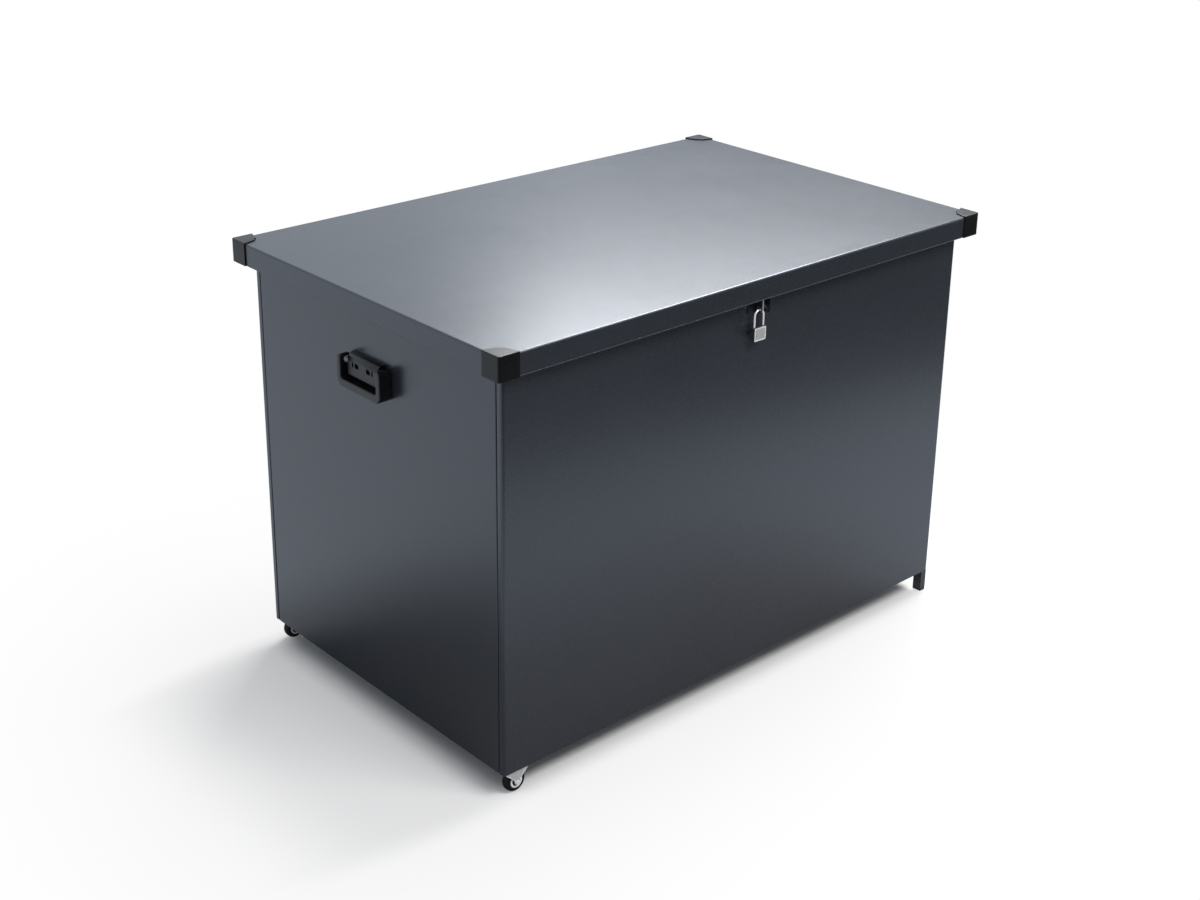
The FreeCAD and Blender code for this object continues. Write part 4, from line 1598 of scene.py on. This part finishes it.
    def plug(self) -> Mesh:
        """Key plug with its slot, standing just proud of the case.

        Returns:
            The mesh.
        """
        box = Extent("padlock_plug")
        radius, low, x, y = box.size.x / 2, box.low.z - self.plug_proud, box.middle.x, box.middle.y
        slot = Form.rectangle(self.slot_half, self.slot_width / 2, self.slot_corner)
        slot = Form.fine(slot, self.slot_pitch)
        rim = [tuple(Vector(point).normalized() * radius) for point in slot]
        runs = [
            (rim, box.high.z),
            (rim, low + self.plug_ease),
            (Form.inset(rim, self.plug_ease), low),
            (slot, low),
            (slot, low + self.slot_depth),
        ]
        return Form.lofted(runs, lambda u, v, w: Vector((x + u, y + v, w)))


@dataclass(frozen=True)
class Softbox:
    """A rectangular studio light."""

    name: str
    place: Corner
    aim: Corner
    size: Point
    power: float

    def build(self) -> None:
        """Hangs the light."""
        lamp = bpy.data.lights.new(self.name, "AREA")
        lamp.shape = "RECTANGLE"
        lamp.size, lamp.size_y = self.size
        lamp.energy = self.power
        thing = bpy.data.objects.new(self.name, lamp)
        bpy.context.scene.collection.objects.link(thing)
        thing.location = self.place
        way = Vector(self.aim) - Vector(self.place)
        thing.rotation_euler = way.to_track_quat("-Z", "Y").to_euler()
        LOG.info("hung %s", self.name)


@dataclass
class Studio:
    """Floor, light and camera, with lengths in metres and turns in degrees."""

    floor_reach: float = 14.0
    floor_colour: Colour = (0.9, 0.875, 0.855)
    chest_half: Point = (0.571, 0.359)
    shade_half: Point = (0.505, 0.293)
    rim_stretch: Point = (0.72, 0.8)
    rim_span: Point = (0.025, 0.08)
    rim_share: float = 0.36
    shade_shift: Point = (-0.1, 0.0)
    shade_stretch: Point = (1.0, 4.0)
    shade_span: Point = (0.15, 0.42)
    shade_share: float = 0.36
    far_span: Point = (0.05, 0.7)
    mirrored_shift: Point = (-0.27, -0.23)
    mirrored_share: float = 0.42
    mirrored_span: Point = (0.1, 0.5)
    sky: float = 0.42
    sky_colour: Colour = (0.84, 0.915, 1.0)
    felt_colour: Colour = (0.02, 0.02, 0.02)
    flag_edge: tuple[Point, ...] = ((-4.0, -0.6), (-0.5, -1.55), (4.5, -0.4))
    flag_far: float = -5.0
    flag_height: float = 0.004
    flag_top: float = 3.0
    side_flag: tuple[Corner, ...] = ((4.1, 0.8, 2.13), (8.0, 0.8, 2.13), (8.0, 6.0, 2.13), (4.1, 6.0, 2.13))
    softboxes: tuple[Softbox, ...] = (
        Softbox("key", (1.95, 0.1, 3.0), (0.1, -0.4, 0.6), (1.1, 1.1), 58.0),
        Softbox("fill", (0.2, -2.1, 2.7), (0.0, -0.4, 0.35), (1.4, 1.0), 57.0),
        Softbox("back", (1.95, 1.5, 2.75), (-0.1, -0.3, 0.83), (1.6, 0.9), 79.0),
    )
    camera_place: Corner = (-2.2092, -2.4009, 1.8494)
    yaw: float = 42.811
    pitch: float = 20.902
    roll: float = 1.055
    focal_pixels: float = 1808.1
    centre_pixel: Point = (621.5, 338.0)
    frame_pixels: tuple[int, int] = (1200, 900)
    sensor_width: float = 36.0
    sight: float = 60.0

    def build(self) -> None:
        """Builds the whole stage."""
        self.floor()
        self.flags()
        self.world()
        for softbox in self.softboxes:
            softbox.build()
        self.camera()

    def rays(self, graph: Graph) -> list[Value]:
        """Whether a ray is the camera's, mirrored, or passed through something clear.

        Args:
            graph: Tree to fill.

        Returns:
            The three answers, each 0 or 1.
        """
        path = graph.add("ShaderNodeLightPath", out=None)
        kinds = ("Camera", "Glossy", "Transmission")
        return [Value(graph, path.outputs[f"Is {kind} Ray"]) for kind in kinds]

    def sheet(
        self, name: str, corners: Sequence[Corner], surface: Callable[[Graph], Value]
    ) -> bpy.types.Object:
        """Lays a flat piece of the stage.

        Args:
            name: Its name.
            corners: Its four corners.
            surface: Fills its node tree and returns the shader.

        Returns:
            The piece.
        """
        mesh = bpy.data.meshes.new(name)
        mesh.from_pydata(corners, [], [(0, 1, 2, 3)])
        mesh.materials.append(new_material(name, surface))
        thing = bpy.data.objects.new(name, mesh)
        bpy.context.scene.collection.objects.link(thing)
        return thing

    def flags(self) -> None:
        """Sets dark cards out of the picture, seen only in reflections: painted dark reflections on the
        front panel and the lid's right end.
        """
        low, high, far = self.flag_height, self.flag_top, self.flag_far
        cards = {"side": self.side_flag}
        for index, (first, last) in enumerate(zip(self.flag_edge, self.flag_edge[1:])):
            start, stop = first[0], last[0]
            lying = [(*first, low), (*last, low), (stop, far, low), (start, far, low)]
            standing = [(start, far, low), (stop, far, low), (stop, far, high), (start, far, high)]
            cards |= {f"lying_{index}": lying, f"standing_{index}": standing}
        for part, corners in cards.items():
            card = self.sheet(f"flag_{part}", corners, self.felt)
            # Cards hidden from the camera, from diffuse light and from shadows: they only darken
            # reflections, a painted reflection.
            card.visible_camera = card.visible_diffuse = False
            card.visible_shadow = card.visible_transmission = False

    def felt(self, graph: Graph) -> Value:
        """Dull black felt."""
        return graph.add("ShaderNodeBsdfDiffuse", None, {"Color": self.felt_colour})

    def floor(self) -> None:
        """Lays the pale floor, which turns to plain white a little way from the chest."""
        reach = self.floor_reach
        corners = [(u * reach, v * reach, 0) for u, v in Form.SIGNS]
        self.sheet("floor", corners, self.paper)

    def distance(
        self, graph: Graph, halves: Point, shift: Point = (0.0, 0.0), stretch: Point = (1.0, 1.0)
    ) -> Value:
        """Distance on the floor from a rectangle.

        Args:
            graph: Tree to fill.
            halves: Half of its length and of its depth.
            shift: Place of its middle.
            stretch: Factors on the distance along the two axes.

        Returns:
            The distance in metres.
        """
        axes = graph.add("ShaderNodeSeparateXYZ", None, {0: graph.place()}, out=None)
        gaps = []
        for axis, half, move, factor in zip("XY", halves, shift, stretch):
            gaps.append((abs(Value(graph, axes.outputs[axis]) - move) - half).larger(0.0) * factor)
        return (gaps[0] * gaps[0] + gaps[1] * gaps[1]) ** 0.5

    def paper(self, graph: Graph) -> Value:
        """Pale paper that keeps the shadow near the chest. A white glow mixed in by distance from the chest
        lifts that shadow, painted light, and in reflections the paper is darker, painted shade.

        Args:
            graph: Tree to fill.

        Returns:
            The surface shader.
        """
        camera, mirrored, clear = self.rays(graph)
        # Ramps by distance from the chest that mix a white glow over the paper: painted light that lifts
        # the chest's shadow.
        gap = self.distance(graph, self.shade_half, stretch=self.rim_stretch)
        side_gap = self.distance(graph, self.shade_half, self.shade_shift, self.shade_stretch)
        far_share = 1.0 - self.rim_share - self.shade_share
        rim = graph.eased(gap, *self.rim_span) * self.rim_share
        near = rim + graph.eased(gap, *self.far_span) * far_share
        near = near + graph.eased(side_gap, *self.shade_span) * self.shade_share
        mirror = self.distance(graph, self.chest_half, self.mirrored_shift)
        far = graph.eased(mirror, *self.mirrored_span)
        white = (near * camera.larger(clear)).larger(far * mirrored)
        # Paper seen in reflections is darker by this share: painted shade in what the chest mirrors.
        dim = tuple(channel * self.mirrored_share for channel in self.floor_colour)
        pale = graph.mix(mirrored, self.floor_colour, dim)
        paper = graph.add("ShaderNodeBsdfDiffuse", None, {"Color": pale})
        colour = graph.mix(mirrored, WHITE, self.sky_colour)
        glow = graph.add("ShaderNodeEmission", None, {"Color": colour, "Strength": 1.0})
        return graph.add("ShaderNodeMixShader", None, {0: white, 1: paper, 2: glow})

    def world(self) -> None:
        """Sets the even sky light and the white background."""
        world = bpy.data.worlds.new("studio")
        world.use_nodes = True
        graph = Graph(world.node_tree)
        camera, mirrored, clear = self.rays(graph)
        strength = self.sky + camera.larger(mirrored).larger(clear) * (1.0 - self.sky)
        colour = graph.mix(camera, self.sky_colour, WHITE)
        sky = graph.add("ShaderNodeBackground", None, {"Color": colour, "Strength": strength})
        graph.add("ShaderNodeOutputWorld", None, {"Surface": sky}, out=None)
        bpy.context.scene.world = world

    def camera(self) -> None:
        """Stands the camera at the photograph's angle."""
        yaw, pitch, roll = (math.radians(turn) for turn in (self.yaw, self.pitch, self.roll))
        flat = math.cos(pitch)
        ahead = Vector((math.sin(yaw) * flat, math.cos(yaw) * flat, -math.sin(pitch)))
        right = ahead.cross(Z).normalized()
        up = right.cross(ahead)
        tilted = right * math.cos(roll) + up * math.sin(roll)
        upright = up * math.cos(roll) - right * math.sin(roll)
        lens = bpy.data.cameras.new("camera")
        wide, high = self.frame_pixels
        lens.sensor_width = self.sensor_width
        lens.lens = self.focal_pixels / wide * self.sensor_width
        lens.shift_x = (wide / 2 - self.centre_pixel[0]) / wide
        lens.shift_y = (self.centre_pixel[1] - high / 2) / wide
        lens.clip_end = self.sight
        thing = bpy.data.objects.new("camera", lens)
        bpy.context.scene.collection.objects.link(thing)
        turn = Matrix((tilted, upright, -ahead)).transposed()
        thing.matrix_world = Matrix.Translation(self.camera_place) @ turn.to_4x4()
        bpy.context.scene.camera = thing


def clear_stage() -> None:
    """Removes what a new file starts with."""
    for thing in list(bpy.context.scene.objects):
        if "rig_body" not in thing and thing not in frame["bodies"].values():
            bpy.data.objects.remove(thing)


def main() -> None:
    """Builds the classes in order."""
    logging.basicConfig(level=logging.INFO, format="%(name)s: %(message)s")
    clear_stage()
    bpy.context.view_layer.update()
    bpy.context.scene.view_settings.view_transform = "Standard"
    bench = Bench(frame["nodes"])
    Chest(bench).build()
    Lid(bench).build()
    for end in End:
        Handle(bench, end).build()
        Hinge(bench, end).build()
        Strut(bench, end).build()
    for side in Side:
        Caster(bench, side).build()
        Foot(bench, side).build()
    bench.keep("foot_glides", Finishes.GLIDE, Ease.LARGE)
    Padlock(bench).build()
    Studio().build()


if __name__ == "__main__":
    main()
